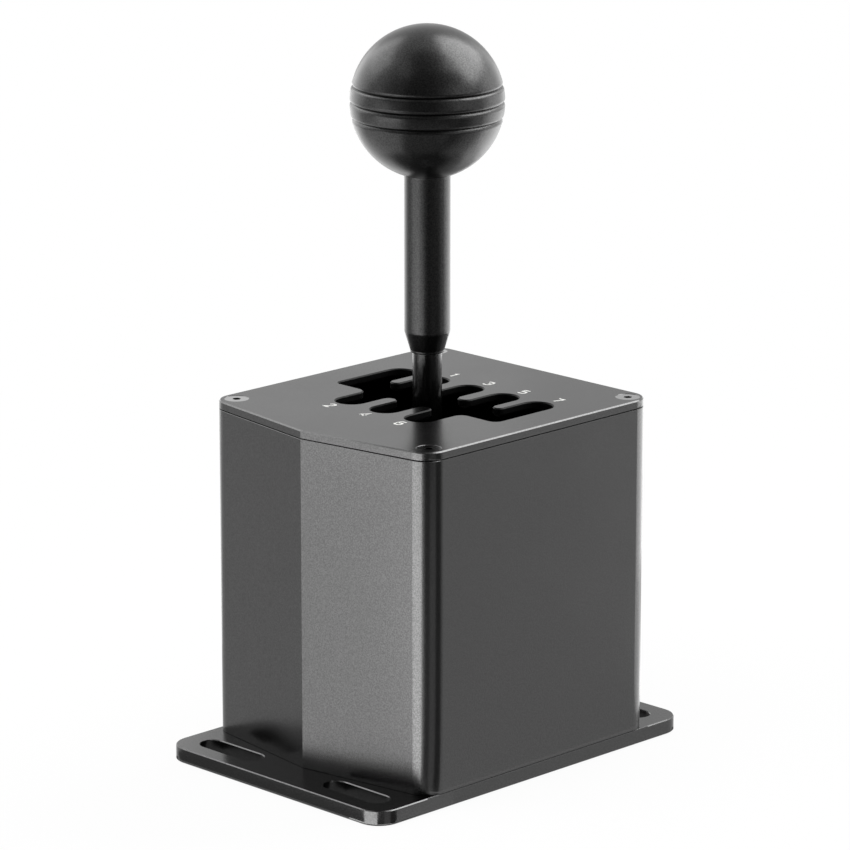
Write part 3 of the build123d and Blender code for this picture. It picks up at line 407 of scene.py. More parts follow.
def solder_mask(name, colour):
    """A glass-fibre board under solder mask: copper tracks show through it as slightly paler lines."""
    material, tree, shader, place = new_material(name)
    sizes = {"Scale": 1 / (5 * MM), "Mortar Size": 0.035, "Brick Width": 0.7, "Row Height": 0.23}
    colours = {"Color1": rgba(colour), "Color2": rgba(colour, 0.85), "Mortar": rgba(colour, 1.9)}
    tracks = add_node(
        tree,
        "ShaderNodeTexBrick",
        {"offset": 0.35, "squash": 1.6, "squash_frequency": 3},
        {"Vector": place, **sizes, **colours},
    )
    copper = 0.035 * MM
    relief = add_node(
        tree,
        "ShaderNodeBump",
        inputs={"Strength": 0.3, "Distance": copper, "Height": tracks.outputs["Fac"]},
    )
    outcome = {"Base Color": tracks.outputs["Color"], "Normal": relief.outputs["Normal"]}
    set_inputs(tree, shader, {"Roughness": 0.28, **outcome})
    return material


def finishes():
    """All finishes by name, made once. The frame has plain materials called milled_aluminium,
    ground_steel, bearing_steel and chip_epoxy too, and those are what these four names find."""
    look = bpy.context.scene.shifter_finishes
    if "housing_anodised" in bpy.data.materials:
        return bpy.data.materials
    even = (1, 1, 1)
    # Dark grey dye on blasted aluminium: dull from the front, and pale where the eye skims over it
    blasted_anodised("housing_anodised", look.housing_colour, look.housing_roughness)
    milled_gate("gate_anodised", look.housing_colour, look.housing_roughness)
    # The same process in black on the thick base plate
    blasted_anodised("base_anodised", look.base_colour, look.housing_roughness)
    # Knob and sleeve, turned and then anodised satin black
    satin_black("knob_satin_black", look.lever_colour, look.lever_roughness)
    # Rod, ground and blackened: the same black, a little glossier
    satin_black("rod_black_oxide", look.lever_colour, look.lever_roughness - 0.08)
    # Countersunk screws, plain stainless: paler than the plate that they sit in
    brushed_metal("screw_stainless", linear("A9A9A9"), 0.3, 0.3, even, 0.006)
    # The gate's screws, with painted shade in their sockets
    socket_head("gate_screw_stainless", linear("9A9A9A"), 0.14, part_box("gate_screws")[1].z)
    # Set screws, blackened in hot salts: near black with an oily shine
    brushed_metal("screw_black_oxide", linear("3A3A3C"), 0.4, 0.3, even, 0.01)
    brushed_metal("screw_zinc_plated", linear("B9BABC"), 0.32, 0.3, even, 0.01)
    # Bare aluminium off the mill, with cutter lines along Y
    brushed_metal("milled_aluminium", linear("C4C6CA"), 0.34, 0.25, (1, 0.08, 1), 0.02)
    # Ground steel: shafts and pins, and the brighter rings of the bearings
    brushed_metal("ground_steel", linear("B4B4B6"), 0.24, 0.12, even, 0.006)
    brushed_metal("bearing_steel", linear("BFC0C2"), 0.2, 0.12, even, 0.004)
    brushed_metal("spring_wire", linear("8F9095"), 0.3, 0.2, even, 0.006)
    brushed_metal("turned_brass", linear("C9A75A"), 0.28, 0.15, (1, 1, 0.2), 0.008)
    # Sintered bronze, full of oil: a dull open grain
    brushed_metal("sintered_bronze", linear("A5794A"), 0.46, 0.3, even, 0.03)
    brushed_metal("nickel_plate", linear("C6C4BE"), 0.18, 0.3, even, 0.004)
    brushed_metal("gold_flash", linear("D9B45B"), 0.22, 0.2, even, 0.003)
    brushed_metal("solder_tin", linear("BFC1C4"), 0.34, 0.2, even, 0.01)
    moulded_plastic("black_acetal", linear("1E1F21"), 0.4, 0.35, 0.01, 1.48)
    moulded_plastic("chip_epoxy", linear("1B1B1D"), 0.55, 0.12, 0.02, 1.55)
    moulded_plastic("socket_nylon", linear("141415"), 0.5, 0.25, 0.02, 1.53)
    moulded_plastic("seal_rubber", linear("161616"), 0.62, 0.2, 0.02, 1.52)
    moulded_plastic("ceramic_chip", linear("8A7350"), 0.45, 0.1, 0.01, 1.6)
    moulded_plastic("white_connector", linear("D8D6CC"), 0.42, 0.3, 0.01, 1.53)
    # White pad-printing ink: flat, a little uneven in thickness
    moulded_plastic("printed_ink", look.ink_colour, 0.6, 0.25, 0.01, 1.5)
    solder_mask("green_solder_mask", linear("1D4B31"))
    return bpy.data.materials


def dress(material_name, *nodes):
    """Gives CAD nodes their finish."""
    material = finishes()[material_name]
    for name in nodes:
        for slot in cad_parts[name].material_slots:
            slot.material = material


def new_object(name, form, material):
    """Turns a bmesh into an object in the scene."""
    mesh = bpy.data.meshes.new(name)
    form.to_mesh(mesh)
    form.free()
    mesh.materials.append(material)
    made = bpy.data.objects.new(name, mesh)
    bpy.context.scene.collection.objects.link(made)
    return made


def new_piece(name, form, material_name, body):
    """Turns a bmesh into a piece that rides on a body."""
    bmesh.ops.recalc_face_normals(form, faces=form.faces)
    piece = new_object(name, form, finishes()[material_name])
    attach(piece, body)
    return piece


def smooth_over(piece):
    """Smooth shading, kept sharp at the edges."""
    form = bmesh.new()
    form.from_mesh(piece.data)
    for edge in form.edges:
        edge.smooth = len(edge.link_faces) == 2 and edge.calc_face_angle(math.pi) < SHARP_ANGLE
    for face in form.faces:
        face.smooth = True
    form.to_mesh(piece.data)
    form.free()


def sweep(form, path, radius, sides=10):
    """Adds a round wire along a path of points, closed at both ends."""
    rings = []
    side = None
    turns = [2 * math.pi * k / sides for k in range(sides)]
    for index, point in enumerate(path):
        ahead = path[min(index + 1, len(path) - 1)]
        behind = path[max(index - 1, 0)]
        along = (ahead - behind).normalized()
        if side is None:
            side = along.orthogonal().normalized()
        side = (side - along * side.dot(along)).normalized()
        across = along.cross(side)
        rings.append(
            [
                form.verts.new(point + side * radius * math.cos(turn) + across * radius * math.sin(turn))
                for turn in turns
            ]
        )
    for ring, following in zip(rings, rings[1:]):
        for k in range(sides):
            form.faces.new((ring[k], ring[(k + 1) % sides], following[(k + 1) % sides], following[k]))
    form.faces.new(reversed(rings[0]))
    form.faces.new(rings[-1])


def lathe(form, profile, centre, steps=64):
    """Adds a closed profile of (radius, distance along Y), turned round an axis along Y."""
    to_axis = Vector((0, 0, 1)).rotation_difference(Vector((0, 1, 0))).to_matrix()
    rings = []
    for step in range(steps):
        turn = 2 * math.pi * step / steps
        rings.append(
            [
                form.verts.new(centre + to_axis @ Vector((r * math.cos(turn), r * math.sin(turn), h)))
                for r, h in profile
            ]
        )
    for ring, following in zip(rings, rings[1:] + rings[:1]):
        for k in range(len(profile)):
            after = (k + 1) % len(profile)
            form.faces.new((ring[k], ring[after], following[after], following[k]))


def block(form, low, high, edge):
    """Adds a block between two corners, with its edges bevelled."""
    corners = bmesh.ops.create_cube(form, size=1.0)["verts"]
    bmesh.ops.scale(form, vec=high - low, verts=corners)
    bmesh.ops.translate(form, vec=(low + high) / 2, verts=corners)
    edges = list({e for v in corners for e in v.link_edges})
    bmesh.ops.bevel(form, geom=edges, offset=edge, segments=2, profile=0.5, affect="EDGES")


def row_of_blocks(form, first, size, count, pitch, edge):
    """Adds like blocks in a row along X, from the lower corner of the first."""
    for k in range(count):
        low = first + Vector((k * pitch, 0, 0))
        block(form, low, low + size, edge)


def helix(start, end, radius, turns, wire):
    """Points of a compression spring's wire, whose first and last turns lie closed on its ends."""
    along = (end - start).normalized()
    side = along.orthogonal().normalized()
    across = along.cross(side)
    length = (end - start).length
    steps_per_turn = 28
    # A closed turn rises by a little more than the wire, so that turns don't run into each other
    closed_rise = wire * 1.02
    points = []
    for step in range(turns * steps_per_turn + 1):
        turn = step / steps_per_turn
        closed = min(turn, 1.0) + max(0.0, turn - (turns - 1))
        travel = wire / 2 + closed * closed_rise
        travel += (turn - closed) * (length - wire - 2 * closed_rise) / (turns - 2)
        angle = 2 * math.pi * turn
        points.append(
            start + along * travel + (side * math.cos(angle) + across * math.sin(angle)) * radius
        )
    return points


class SHIFTER_OT_housing(bpy.types.Operator):
    """Finish the base plate, the housing shell, the gate plate and all their screws"""

    bl_idname = "shifter.housing"
    bl_label = "Housing"

    def execute(self, context):
        dress("base_anodised", "base_plate")
        dress("housing_anodised", "housing_shell")
        dress("gate_anodised", "gate_plate")
        dress("gate_screw_stainless", "gate_screws")
        dress("screw_stainless", "base_screws", "bracket_screws")
        dress("screw_black_oxide", "bridge_screws", "hub_set_screws")
        return {"FINISHED"}


class SHIFTER_OT_lever(bpy.types.Operator):
    """Finish the rod, the sleeve, the ball knob and its insert"""

    bl_idname = "shifter.lever"
    bl_label = "Lever"

    def execute(self, context):
        dress("knob_satin_black", "ball_knob", "lever_sleeve")
        dress("rod_black_oxide", "lever_rod")
        dress("turned_brass", "knob_insert")
        return {"FINISHED"}


class SHIFTER_OT_mechanism(bpy.types.Operator):
    """Finish the stands, the cradle, the hub, the shafts, the detent and the centring slider"""

    bl_idname = "shifter.mechanism"
    bl_label = "Mechanism"

    def execute(self, context):
        dress(
            "milled_aluminium",
            "front_stand", "rear_stand", "left_bracket", "right_bracket", "cradle_frame", "lever_hub",
        )
        dress(
            "ground_steel",
            "guide_rod", "front_select_stub", "rear_select_stub", "shift_axle", "drive_pin",
            "detent_barrel", "detent_plunger",
        )
        dress("sintered_bronze", "shift_bushes")
        dress("black_acetal", "detent_bridge", "centring_slider")
        dress("nickel_plate", "select_magnet", "shift_magnet")
        return {"FINISHED"}


class SHIFTER_OT_numerals(bpy.types.Operator):
    """Print the gear numerals on the gate plate"""

    bl_idname = "shifter.numerals"
    bl_label = "Gear numerals"

    # Strokes of each sign, as shares of its width and height
    stroke_shares = {
        "1": [[(0.2, 0.78), (0.56, 1), (0.56, 0)]],
        "2": [[(0, 0.8), (0.22, 1), (0.78, 1), (1, 0.82), (1, 0.64), (0.78, 0.48), (0, 0.1), (0, 0), (1, 0)]],
        "3": [
            [(0, 0.86), (0.2, 1), (0.8, 1), (1, 0.84), (1, 0.66), (0.8, 0.53), (0.35, 0.53)],
            [(0.8, 0.53), (1, 0.38), (1, 0.16), (0.8, 0), (0.2, 0), (0, 0.14)],
        ],
        "4": [[(0.76, 0), (0.76, 1), (0, 0.28), (1, 0.28)]],
        "5": [[
            (0.95, 1), (0.08, 1), (0.04, 0.56), (0.8, 0.6), (1, 0.44),
            (1, 0.16), (0.8, 0), (0.2, 0), (0, 0.13),
        ]],
        "6": [[
            (0.9, 1), (0.3, 1), (0, 0.74), (0, 0.16), (0.2, 0),
            (0.8, 0), (1, 0.16), (1, 0.42), (0.8, 0.58), (0, 0.5),
        ]],
        "7": [[(0, 1), (1, 1), (0.42, 0)]],
        "R": [
            [(0, 0), (0, 1), (0.78, 1), (1, 0.84), (1, 0.62), (0.78, 0.48), (0, 0.48)],
            [(0.5, 0.48), (1, 0)],
        ],
    }

    def stroke(self, form, points, width, z):
        """Adds one line of ink, with mitred corners that sharp turns don't draw out far."""
        left, right = [], []
        for index, point in enumerate(points):
            into = (point - points[index - 1]).normalized() if index else None
            out = (points[index + 1] - point).normalized() if index + 1 < len(points) else None
            along = ((into or out) + (out or into)).normalized()
            normal = Vector((-along.y, along.x))
            turn = (into or out).dot(along)
            reach = width / 2 / max(turn, 0.5)
            left.append(form.verts.new((*(point + normal * reach), z)))
            right.append(form.verts.new((*(point - normal * reach), z)))
        for k in range(len(points) - 1):
            form.faces.new((left[k], right[k], right[k + 1], left[k + 1]))

    def execute(self, context):
        marks = context.scene.shifter_numerals
        plate_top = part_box("gate_plate")[1].z
        inner, outer = marks.inner_pitch, marks.inner_pitch + marks.outer_pitch
        far_row = zip("R1357", (-outer, -inner, 0, inner, outer), [marks.far_row] * 5)
        near_row = zip("246", (-inner, 0, inner), [-marks.near_row] * 3)
        for sign, x, y in (*far_row, *near_row):
            form = bmesh.new()
            corner = Vector((x - marks.width / 2, y - marks.height / 2))
            for shares in self.stroke_shares[sign]:
                points = [corner + Vector((u * marks.width, v * marks.height)) for u, v in shares]
                self.stroke(form, points, marks.stroke, plate_top + marks.ink)
            made = bmesh.ops.extrude_face_region(form, geom=list(form.faces))
            lower = [v for v in made["geom"] if isinstance(v, bmesh.types.BMVert)]
            bmesh.ops.translate(form, vec=(0, 0, -marks.ink), verts=lower)
            new_piece(f"gear_mark_{sign}", form, "printed_ink", "housing")
        return {"FINISHED"}


class SHIFTER_OT_springs(bpy.types.Operator):
    """Wind the two centring springs and the detent spring"""

    bl_idname = "shifter.springs"
    bl_label = "Springs"

    def execute(self, context):
        sizes = context.scene.shifter_springs
        for side, fixed_end in (("left", 0), ("right", 1)):
            coil, fixed, moving = self.wind(
                f"{side}_centring_coil", f"{side}_centring_spring",
                "xz", fixed_end, sizes.centring_turns, sizes.centring_wire,
            )
            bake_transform(coil)
        coil, fixed, moving = self.wind(
            "detent_coil", "detent_spring", "zx", 1, sizes.detent_turns, sizes.detent_wire
        )
        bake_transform(coil)
        return {"FINISHED"}

    def wind(self, name, node, axes, fixed_end, turns, wire):
        """A wound spring with no body of its own yet, in place of its CAD sleeve, and the middles of
        its fixed and moving ends. The first of the axes runs along the sleeve, the second across it.
        The fixed end is 0 for the sleeve's low end and 1 for its high end."""
        along, across = ("xyz".index(axis) for axis in axes)
        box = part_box(node)
        fixed = (box[0] + box[1]) / 2
        moving = fixed.copy()
        fixed[along] = box[fixed_end][along]
        moving[along] = box[1 - fixed_end][along]
        radius = (box[1][across] - box[0][across]) / 2 - wire / 2
        form = bmesh.new()
        sweep(form, helix(fixed, moving, radius, turns, wire), wire / 2)
        bmesh.ops.recalc_face_normals(form, faces=form.faces)
        coil = new_object(name, form, finishes()["spring_wire"])
        coil.data.shade_smooth()
        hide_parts(node)
        return coil, fixed, moving


class SHIFTER_OT_bearings(bpy.types.Operator):
    """Build the two sealed select bearings, with their rings and rubber seals"""

    bl_idname = "shifter.bearings"
    bl_label = "Select bearings"

    def execute(self, context):
        low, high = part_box("select_bearings")
        centre_z = (low.z + high.z) / 2
        outer = (high.z - low.z) / 2
        bore = 4.05 * MM
        width = 5.0 * MM
        rim = 0.3 * MM
        groove = 0.25 * MM
        seal_width = 0.5 * MM
        inner_land = 5.3 * MM
        outer_land = 6.7 * MM
        rings = bmesh.new()
        seals = bmesh.new()
        for y in (low.y, high.y - width):
            centre = Vector((0, y, centre_z))
            for near, far in ((bore, inner_land), (outer_land, outer)):
                profile = [
                    (near, rim), (near + rim, 0), (far - rim, 0), (far, rim),
                    (far, width - rim), (far - rim, width), (near + rim, width), (near, width - rim),
                ]
                lathe(rings, profile, centre)
            for start in (groove, width - groove - seal_width):
                end = start + seal_width
                seal = [(inner_land, start), (outer_land, start), (outer_land, end), (inner_land, end)]
                lathe(seals, seal, centre)
        made = []
        for name, form, material_name in (
            ("select_bearing_rings", rings, "bearing_steel"),
            ("select_bearing_seals", seals, "seal_rubber"),
        ):
            made.append(new_piece(name, form, material_name, "housing"))
            smooth_over(made[-1])
        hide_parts("select_bearings")
        return {"FINISHED"}


class SHIFTER_OT_boards(bpy.types.Operator):
    """Finish the circuit boards and fit them with their small parts"""

    bl_idname = "shifter.boards"
    bl_label = "Circuit boards"

    def execute(self, context):
        dress("green_solder_mask", "main_board", "select_sensor_board", "shift_sensor_board")
        dress("chip_epoxy", "controller_chip", "select_sensor_chip", "shift_sensor_chip")
        dress("turned_brass", "board_standoffs")
        dress("screw_zinc_plated", "board_screws", "select_sensor_screws", "shift_sensor_screws")
        self.main_board()
        self.sensor_board("select_sensor_board", "housing", Vector((0, 1, 0)), Vector((-1, 0, 0)))
        self.sensor_board("shift_sensor_board", "cradle", Vector((1, 0, 0)), Vector((0, 1, 0)))
        return {"FINISHED"}

    def main_board(self):
        """Legs of the controller chip, a row of small chips and two lead connectors."""
        low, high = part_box("controller_chip")
        middle = Vector(((low.x + high.x) / 2, (low.y + high.y) / 2, 0))
        half = (high.x - low.x) / 2
        knee = low.z + 0.6 * MM
        foot = low.z + 0.08 * MM
        # Each bend of a leg: how far out from the chip's side in millimetres, and its height
        bends = ((-0.1, knee), (0.4, knee), (0.6, foot), (1.2, foot))
        leg_pitch = 0.8 * MM
        per_side = 9
        legs = bmesh.new()
        for side in range(4):
            turn = Matrix.Rotation(side * math.pi / 2, 3, "Z")
            for k in range(per_side):
                offset = (k - (per_side - 1) / 2) * leg_pitch
                path = [
                    middle + turn @ Vector((half + out * MM, offset, 0)) + Vector((0, 0, height))
                    for out, height in bends
                ]
                sweep(legs, path, 0.14 * MM, 6)
        new_piece("controller_chip_legs", legs, "solder_tin", "housing")
        board_low, board_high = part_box("main_board")
        capacitors = bmesh.new()
        first = Vector((board_low.x + 6.5 * MM, board_low.y + 1.4 * MM, board_high.z))
        row_of_blocks(capacitors, first, Vector((0.8, 1.6, 0.6)) * MM, 7, 1.7 * MM, 0.08 * MM)
        new_piece("board_capacitors", capacitors, "ceramic_chip", "housing")
        connectors = bmesh.new()
        first = Vector((board_low.x + 3.0 * MM, middle.y + 7.5 * MM, board_high.z))
        row_of_blocks(connectors, first, Vector((7.4, 2.6, 4.2)) * MM, 2, 8.4 * MM, 0.2 * MM)
        new_piece("board_connectors", connectors, "white_connector", "housing")

    def sensor_board(self, node, body, out, across):
        """A lead connector and three small chips on a sensor board's outer face."""
        low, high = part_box(node)
        face = (low + high) / 2 + out * abs((high - low).dot(out)) / 2

        def on_face(form, place, size, edge):
            """Adds a block that stands on the board, by the place of its middle across and up, and
            its size across, up and out, all in millimetres."""
            near, far = (
                face
                + across * (place[0] + end * size[0] / 2) * MM
                + Vector((0, 0, place[1] + end * size[1] / 2)) * MM
                for end in (-1, 1)
            )
            far += out * size[2] * MM
            block(form, Vector(map(min, near, far)), Vector(map(max, near, far)), edge * MM)

        chips = bmesh.new()
        chip_pitch = 2.2
        for k in (-1, 0, 1):
            on_face(chips, (k * chip_pitch, 0.5), (1.0, 1.6, 0.6), 0.08)
        new_piece(f"{node}_chips", chips, "ceramic_chip", body)
        plug = bmesh.new()
        on_face(plug, (3.2, -6.6), (6.4, 2.8, 3.4), 0.2)
        new_piece(f"{node}_connector", plug, "white_connector", body)


class SHIFTER_OT_socket(bpy.types.Operator):
    """Finish the data socket and fit its sprung contacts"""

    bl_idname = "shifter.socket"
    bl_label = "Data socket"

    def execute(self, context):
        dress("socket_nylon", "data_socket")
        low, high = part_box("data_socket")
        middle_x = (low.x + high.x) / 2
        roof = low.z + 10.3 * MM
        # Each bend of a contact, in millimetres in from the socket's mouth and down from its roof
        bends = ((1.6, 0.25), (2.6, 0.9), (4.5, 1.8), (9.5, 4.0), (10.9, 4.3))
        pitch = 1.02 * MM
        count = 6
        form = bmesh.new()
        for k in range(count):
            x = middle_x + (k - (count - 1) / 2) * pitch
            path = [Vector((x, high.y - inwards * MM, roof - down * MM)) for inwards, down in bends]
            sweep(form, path, 0.22 * MM, 8)
        contacts = new_piece("data_socket_contacts", form, "gold_flash", "housing")
        smooth_over(contacts)
        return {"FINISHED"}


class SHIFTER_OT_studio(bpy.types.Operator):
    """Set up the white surroundings, the pale floor, the lamps, the cards and the camera"""

    bl_idname = "shifter.studio"
    bl_label = "Studio"

    def white_when_seen(self, tree):
        """One where a camera, glossy or transmission ray arrives, and zero for the others."""
        rays = add_node(tree, "ShaderNodeLightPath").outputs
        seen = rays["Is Camera Ray"]
        for kind in ("Is Glossy Ray", "Is Transmission Ray"):
            either = add_node(tree, "ShaderNodeMath", {"operation": "MAXIMUM"}, {0: seen, 1: rays[kind]})
            seen = either.outputs[0]
        return seen

    def surroundings(self, scene, level):
        """A white world, whose light on the object is set apart from how bright it looks."""
        scene.world = bpy.data.worlds.new("studio_white")
        tree = emptied_tree(scene.world)
        strength = add_node(
            tree,
            "ShaderNodeMapRange",
            inputs={"Value": self.white_when_seen(tree), "To Min": level},
        ).outputs["Result"]
        white = add_node(
            tree, "ShaderNodeBackground", inputs={"Color": (1, 1, 1, 1), "Strength": strength}
        )
        add_node(tree, "ShaderNodeOutputWorld", inputs={"Surface": white.outputs["Background"]})

    def floor(self):
        """A wide pale floor that fades into the surroundings and keeps a little of the shadow."""
        half_width = 6.0
        gap = 0.2 * MM
        material = bpy.data.materials.new("pale_floor")
        tree = emptied_tree(material)
        lit = add_node(tree, "ShaderNodeBsdfDiffuse", inputs={"Color": (0.95, 0.95, 0.95, 1)})
        glow = add_node(tree, "ShaderNodeEmission", inputs={"Color": (1, 1, 1, 1)})
        place = add_node(tree, "ShaderNodeTexCoord").outputs["Object"]
        away = add_node(tree, "ShaderNodeVectorMath", {"operation": "LENGTH"}, {0: place}).outputs["Value"]
        # Metres from the object between which the last of the shadow fades
        fade = {"From Min": 0.15, "From Max": 0.5, "To Min": 0.94}
        paleness = add_node(tree, "ShaderNodeMapRange", inputs={"Value": away, **fade})
        share = add_node(
            tree,
            "ShaderNodeMath",
            {"operation": "MULTIPLY"},
            {0: paleness.outputs["Result"], 1: self.white_when_seen(tree)},
        )
        mixed = add_node(
            tree,
            "ShaderNodeMixShader",
            inputs={0: share.outputs[0], 1: lit.outputs["BSDF"], 2: glow.outputs["Emission"]},
        )
        add_node(tree, "ShaderNodeOutputMaterial", inputs={"Surface": mixed.outputs["Shader"]})
        form = bmesh.new()
        bmesh.ops.create_grid(form, x_segments=1, y_segments=1, size=half_width)
        floor = new_object("floor", form, material)
        floor.location.z = cad_low.z - gap

    def direction(self, azimuth, elevation):
        """Unit vector towards an azimuth and elevation in degrees. Azimuth 0 is the driver's side,
        and 90 the object's right."""
        a, e = math.radians(azimuth), math.radians(elevation)
        return Vector((math.sin(a) * math.cos(e), -math.cos(a) * math.cos(e), math.sin(e)))

    def lamp(self, name, azimuth, elevation, distance, width, height, power):
        """A softbox that faces the middle of the object, by angles in degrees, metres and watts."""
        data = bpy.data.lights.new(name, "AREA")
        data.shape = "RECTANGLE"
        data.size = width
        data.size_y = height
        data.energy = power
        lamp = bpy.data.objects.new(name, data)
        towards = self.direction(azimuth, elevation)
        lamp.location = Vector((0, 0, cad_high.z / 2)) + towards * distance
        lamp.rotation_euler = towards.to_track_quat("Z", "Y").to_euler()
        lamp.visible_camera = False
        lamp.visible_glossy = False
        bpy.context.scene.collection.objects.link(lamp)

    def card(self, name, corners, level):
        """A reflector or a flag beside the object, which metal mirrors as it would in a studio.
        Its level is how bright it looks, and 1 is the white of the surroundings. Only reflections
        see it, so it throws no shade and never stands in a view."""
        material = bpy.data.materials.new(name)
        tree = emptied_tree(material)
        grey = add_node(tree, "ShaderNodeEmission", inputs={"Color": (1, 1, 1, 1), "Strength": level})
        add_node(tree, "ShaderNodeOutputMaterial", inputs={"Surface": grey.outputs["Emission"]})
        form = bmesh.new()
        form.faces.new([form.verts.new(c) for c in corners])
        card = new_object(name, form, material)
        for rays in ("camera", "diffuse", "shadow", "transmission"):
            setattr(card, f"visible_{rays}", False)

    def lying_card(self, name, start, azimuths, reach, level, height=0.5 * MM):
        """A level card, mostly on the floor, that fans out from a line or a point. Its two sides run
        along the azimuths in degrees, and it begins and ends at the reach in metres."""
        corners = []
        for side, end in CARD_ROUND:
            spot = Vector(start[side]).to_3d() + self.direction(azimuths[side], 0) * reach[end]
            corners.append((spot.x, spot.y, height))
        self.card(name, corners, level)

    def corner_cards(self, name, centre, radius, reach, stops):
        """Small cards on the floor that a rounded corner mirrors one after the other as it turns, which paint
        a highlight and shade on it band by band. Each stop is the azimuth where the corner's face points and
        the level from there on."""
        view = math.degrees(bpy.context.scene.shifter_studio.azimuth)
        for (start, level), (end, _) in zip(stops, stops[1:]):
            points = [Vector(centre) + self.direction(a, 0).to_2d() * radius for a in (start, end)]
            mirrored = (2 * start - view, 2 * end - view)
            self.lying_card(f"{name}_{start}", points, mirrored, (0.0, reach), level, 0.6 * MM)

    def standing_card(self, name, azimuths, distance, heights, level):
        """An upright card that faces the object, between two azimuths in degrees and two heights."""
        corners = []
        for side, end in CARD_ROUND:
            spot = self.direction(azimuths[side], 0) * distance
            corners.append((spot.x, spot.y, heights[end]))
        self.card(name, corners, level)

    def facing_card(self, name, azimuth, elevation, distance, width, height, level):
        """A card that faces the knob, by angles in degrees and sizes in metres."""
        towards = self.direction(azimuth, elevation)
        middle = Vector((0, 0, 0.2)) + towards * distance
        side = Vector((0, 0, 1)).cross(towards).normalized() * width / 2
        up = towards.cross(side).normalized() * height / 2
        corners = [middle - side - up, middle + side - up, middle + side + up, middle - side + up]
        self.card(name, corners, level)

    def rectangle_card(self, name, low, high, height, level):
        """A small level card between two corners, in metres."""
        corners = [((low, high)[side][0], (low, high)[end][1], height) for side, end in CARD_ROUND]
        self.card(name, corners, level)

    def execute(self, context):
        scene = context.scene
        studio = scene.shifter_studio
        scene.view_settings.view_transform = "Standard"
        self.surroundings(scene, studio.room_light)
        self.floor()
        self.lamp("front_softbox", -20, 50, 1.0, 0.6, 0.6, studio.front_lamp)
        self.lamp("rear_softbox", 172, 45, 1.0, 0.6, 0.5, studio.rear_lamp)
        lying, standing, facing = self.lying_card, self.standing_card, self.facing_card
        # Where the lying cards start: the vee's face, the housing's near corner, and its middle
        corner = (0.0445, -0.0535)
        front, corner, middle = ((0.0, -0.057), corner), (corner, corner), ((0.0, 0.0), (0.0, 0.0))
        lying("front_left_reflector", front, (-42, -24.3), (0.026, 0.45), 2.6)
        lying("front_reflector", corner, (-24.3, 24), (0.005, 0.55), 5.4)
        lying("lever_reflector", middle, (-36, 7), (0.52, 1.0), 3.8)
        lying("right_flag_near", corner, (36, 63), (0.005, 0.7), 0.22)
        lying("right_flag_middle", corner, (63, 93), (0.005, 0.7), 0.55)
        lying("right_flag_far", corner, (93, 124), (0.02, 0.7), 0.14)
        standing("camera_side_flag", (7, 112), 0.78, (0.0, 1.0), 0.09)
        standing("right_grey_screen", (64, 84), 0.47, (0.14, 0.5), 0.4)
        standing("right_screen", (84, 112), 0.49, (0.14, 0.5), 1.1)
        standing("front_flag", (-24, 7), 0.95, (0.05, 1.0), 0.35)
        standing("front_left_screen", (-42, -9), 0.93, (0.08, 0.26), 1.7)
        lying("rear_right_reflector", middle, (140, 175), (0.1, 0.26), 2.6)
        lying("rear_right_reflector_far", middle, (144, 175), (0.26, 1.0), 3.8)
        lying("rear_reflector_low", middle, (175, 196), (0.1, 0.26), 1.2)
        lying("rear_reflector_low_far", middle, (175, 196), (0.26, 1.0), 3.0)
        standing("rear_right_screen", (140, 168), 0.7, (0.08, 0.5), 3.0)
        standing("rear_screen", (168, 206), 0.7, (0.08, 0.55), 2.0)
        standing("rear_grey_screen", (200, 221), 0.6, (0.24, 0.5), 0.8)
        lying("rear_flag", middle, (196, 234), (0.1, 0.37), 0.5)
        lying("rear_reflector_right", middle, (196, 220), (0.37, 1.0), 1.8)
        lying("rear_left_reflector", middle, (236, 278), (0.15, 0.55), 1.7)
        standing("rear_left_screen", (236, 285), 0.55, (0.0, 0.17), 2.2)
        standing("left_screen", (248, 300), 0.6, (0.17, 0.42), 2.6)
        facing("rear_reflector", 152, 50, 0.9, 1.0, 0.8, 7.8)
        facing("right_reflector", 95, 62, 0.92, 0.9, 0.7, 2.8)
        facing("left_reflector", 283, 38, 0.9, 0.75, 0.5, 4.0)
        facing("overhead_flag", 45, 72, 0.8, 0.6, 0.5, 0.15)
        # Painted shade: a dim card for the floor's shade at the base plate's foot, which the plate's edge
        # mirrors within a hand's breadth of it
        edge = [(-0.052, -0.072), (0.0435, -0.072), (0.037, -0.085), (-0.052, -0.085)]
        self.card("base_front_flag", [(x, y, 0.0006) for x, y in edge], 0.33)
        # Painted shade: a dim card under the base plate, for the floor in its shadow, which the slots' walls
        # mirror
        self.rectangle_card("base_shade", (-0.0495, -0.071), (0.0495, 0.071), 0.00005, 0.3)
        # Painted highlight and shade, band by band, on the base plate's near corner
        stops = ((9, 5.2), (41, 0.3), (57, 0.55), (72, 0.15), (85, 0))
        self.corner_cards("base_corner", (0.042, -0.0635), 0.008, 0.016, stops)
        side = ((0.05, -0.064), (0.05, -0.038))
        lying("base_side_card", side, (135, 135), (0.0, 0.016), 1.1, 0.6 * MM)
        # Painted shade: cards keep the pale rear out of the seams under and over the housing's side, which
        # the parts around them shade
        self.rectangle_card("seam_flag", (0.05, -0.049), (0.0512, 0.0545), 0.0055, 1.15)
        self.rectangle_card("upper_seam_flag", (0.05, -0.049), (0.0506, 0.0545), 0.1153, 1.3)
        # Painted reflection: cards just under the knob keep the front reflector, which is meant for the
        # housing's corner, out of it and set what its lower half mirrors
        lying("knob_flag_left", middle, (-45, 12), (0.028, 0.1), 1.6, 0.189)
        lying("knob_flag_right", middle, (12, 60), (0.028, 0.1), 0.35, 0.189)
        self.camera(scene, studio)
        return {"FINISHED"}

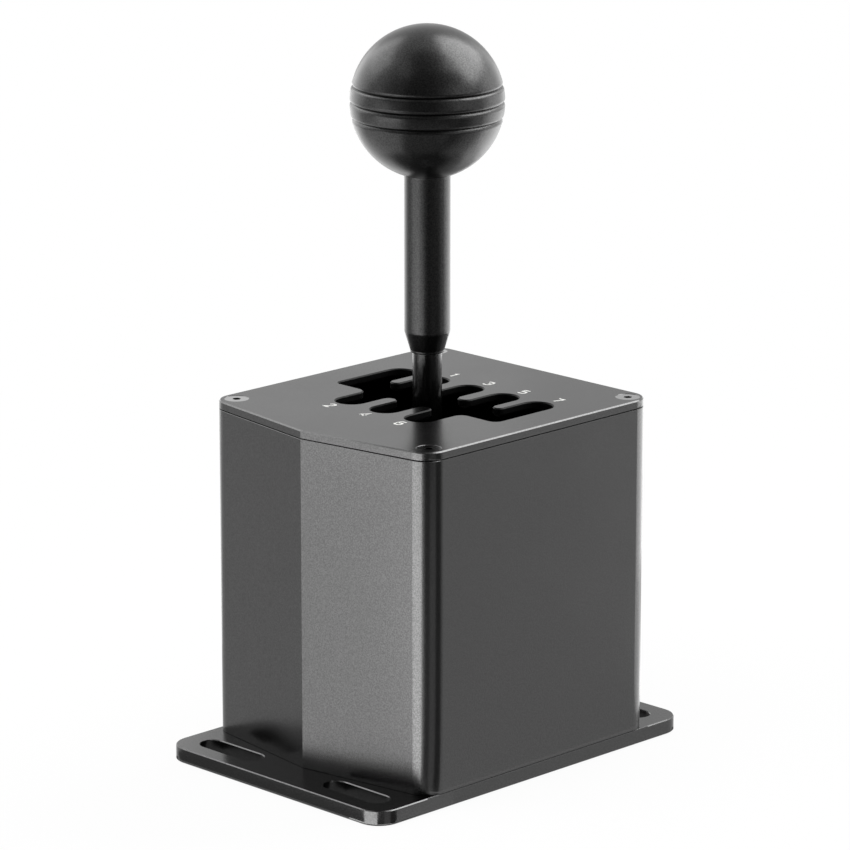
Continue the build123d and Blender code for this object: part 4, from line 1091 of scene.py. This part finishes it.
    def camera(self, scene, studio):
        """The view of the photograph."""
        data = bpy.data.cameras.new("photograph_view")
        data.lens = studio.lens
        data.clip_end = 20
        camera = bpy.data.objects.new("photograph_view", data)
        back = self.direction(math.degrees(studio.azimuth), math.degrees(studio.elevation))
        camera.location = Vector((studio.target_x, 0, studio.target_z)) + back * studio.distance
        camera.rotation_euler = back.to_track_quat("Z", "Y").to_euler()
        scene.collection.objects.link(camera)
        scene.camera = camera


class SHIFTER_PT_panel(bpy.types.Panel):
    """The shifter's operators and sizes in the sidebar"""

    bl_idname = "SHIFTER_PT_panel"
    bl_label = "Rig gear shifter"
    bl_space_type = "VIEW_3D"
    bl_region_type = "UI"
    bl_category = "Shifter"

    def draw(self, context):
        for operator in OPERATORS:
            self.layout.operator(operator.bl_idname)
        for group in GROUPS:
            settings = getattr(context.scene, group)
            for name in settings.__annotations__:
                self.layout.prop(settings, name)


GROUPS = {
    "shifter_finishes": ShifterFinishes,
    "shifter_numerals": ShifterNumerals,
    "shifter_springs": ShifterSprings,
    "shifter_studio": ShifterStudio,
}
OPERATORS = (
    SHIFTER_OT_housing,
    SHIFTER_OT_lever,
    SHIFTER_OT_mechanism,
    SHIFTER_OT_numerals,
    SHIFTER_OT_springs,
    SHIFTER_OT_bearings,
    SHIFTER_OT_boards,
    SHIFTER_OT_socket,
    SHIFTER_OT_studio,
)


def register():
    for group, kind in GROUPS.items():
        bpy.utils.register_class(kind)
        setattr(bpy.types.Scene, group, PointerProperty(type=kind))
    for kind in (*OPERATORS, SHIFTER_PT_panel):
        bpy.utils.register_class(kind)


def unregister():
    for kind in (SHIFTER_PT_panel, *reversed(OPERATORS)):
        bpy.utils.unregister_class(kind)
    for group, kind in reversed(GROUPS.items()):
        delattr(bpy.types.Scene, group)
        bpy.utils.unregister_class(kind)


def main():
    """Registers the classes, dresses the shifter and sets up the studio."""
    register()
    bpy.ops.shifter.housing()
    bpy.ops.shifter.lever()
    bpy.ops.shifter.mechanism()
    bpy.ops.shifter.numerals()
    bpy.ops.shifter.springs()
    bpy.ops.shifter.bearings()
    bpy.ops.shifter.boards()
    bpy.ops.shifter.socket()
    bpy.ops.shifter.studio()


if __name__ == "__main__":
    main()
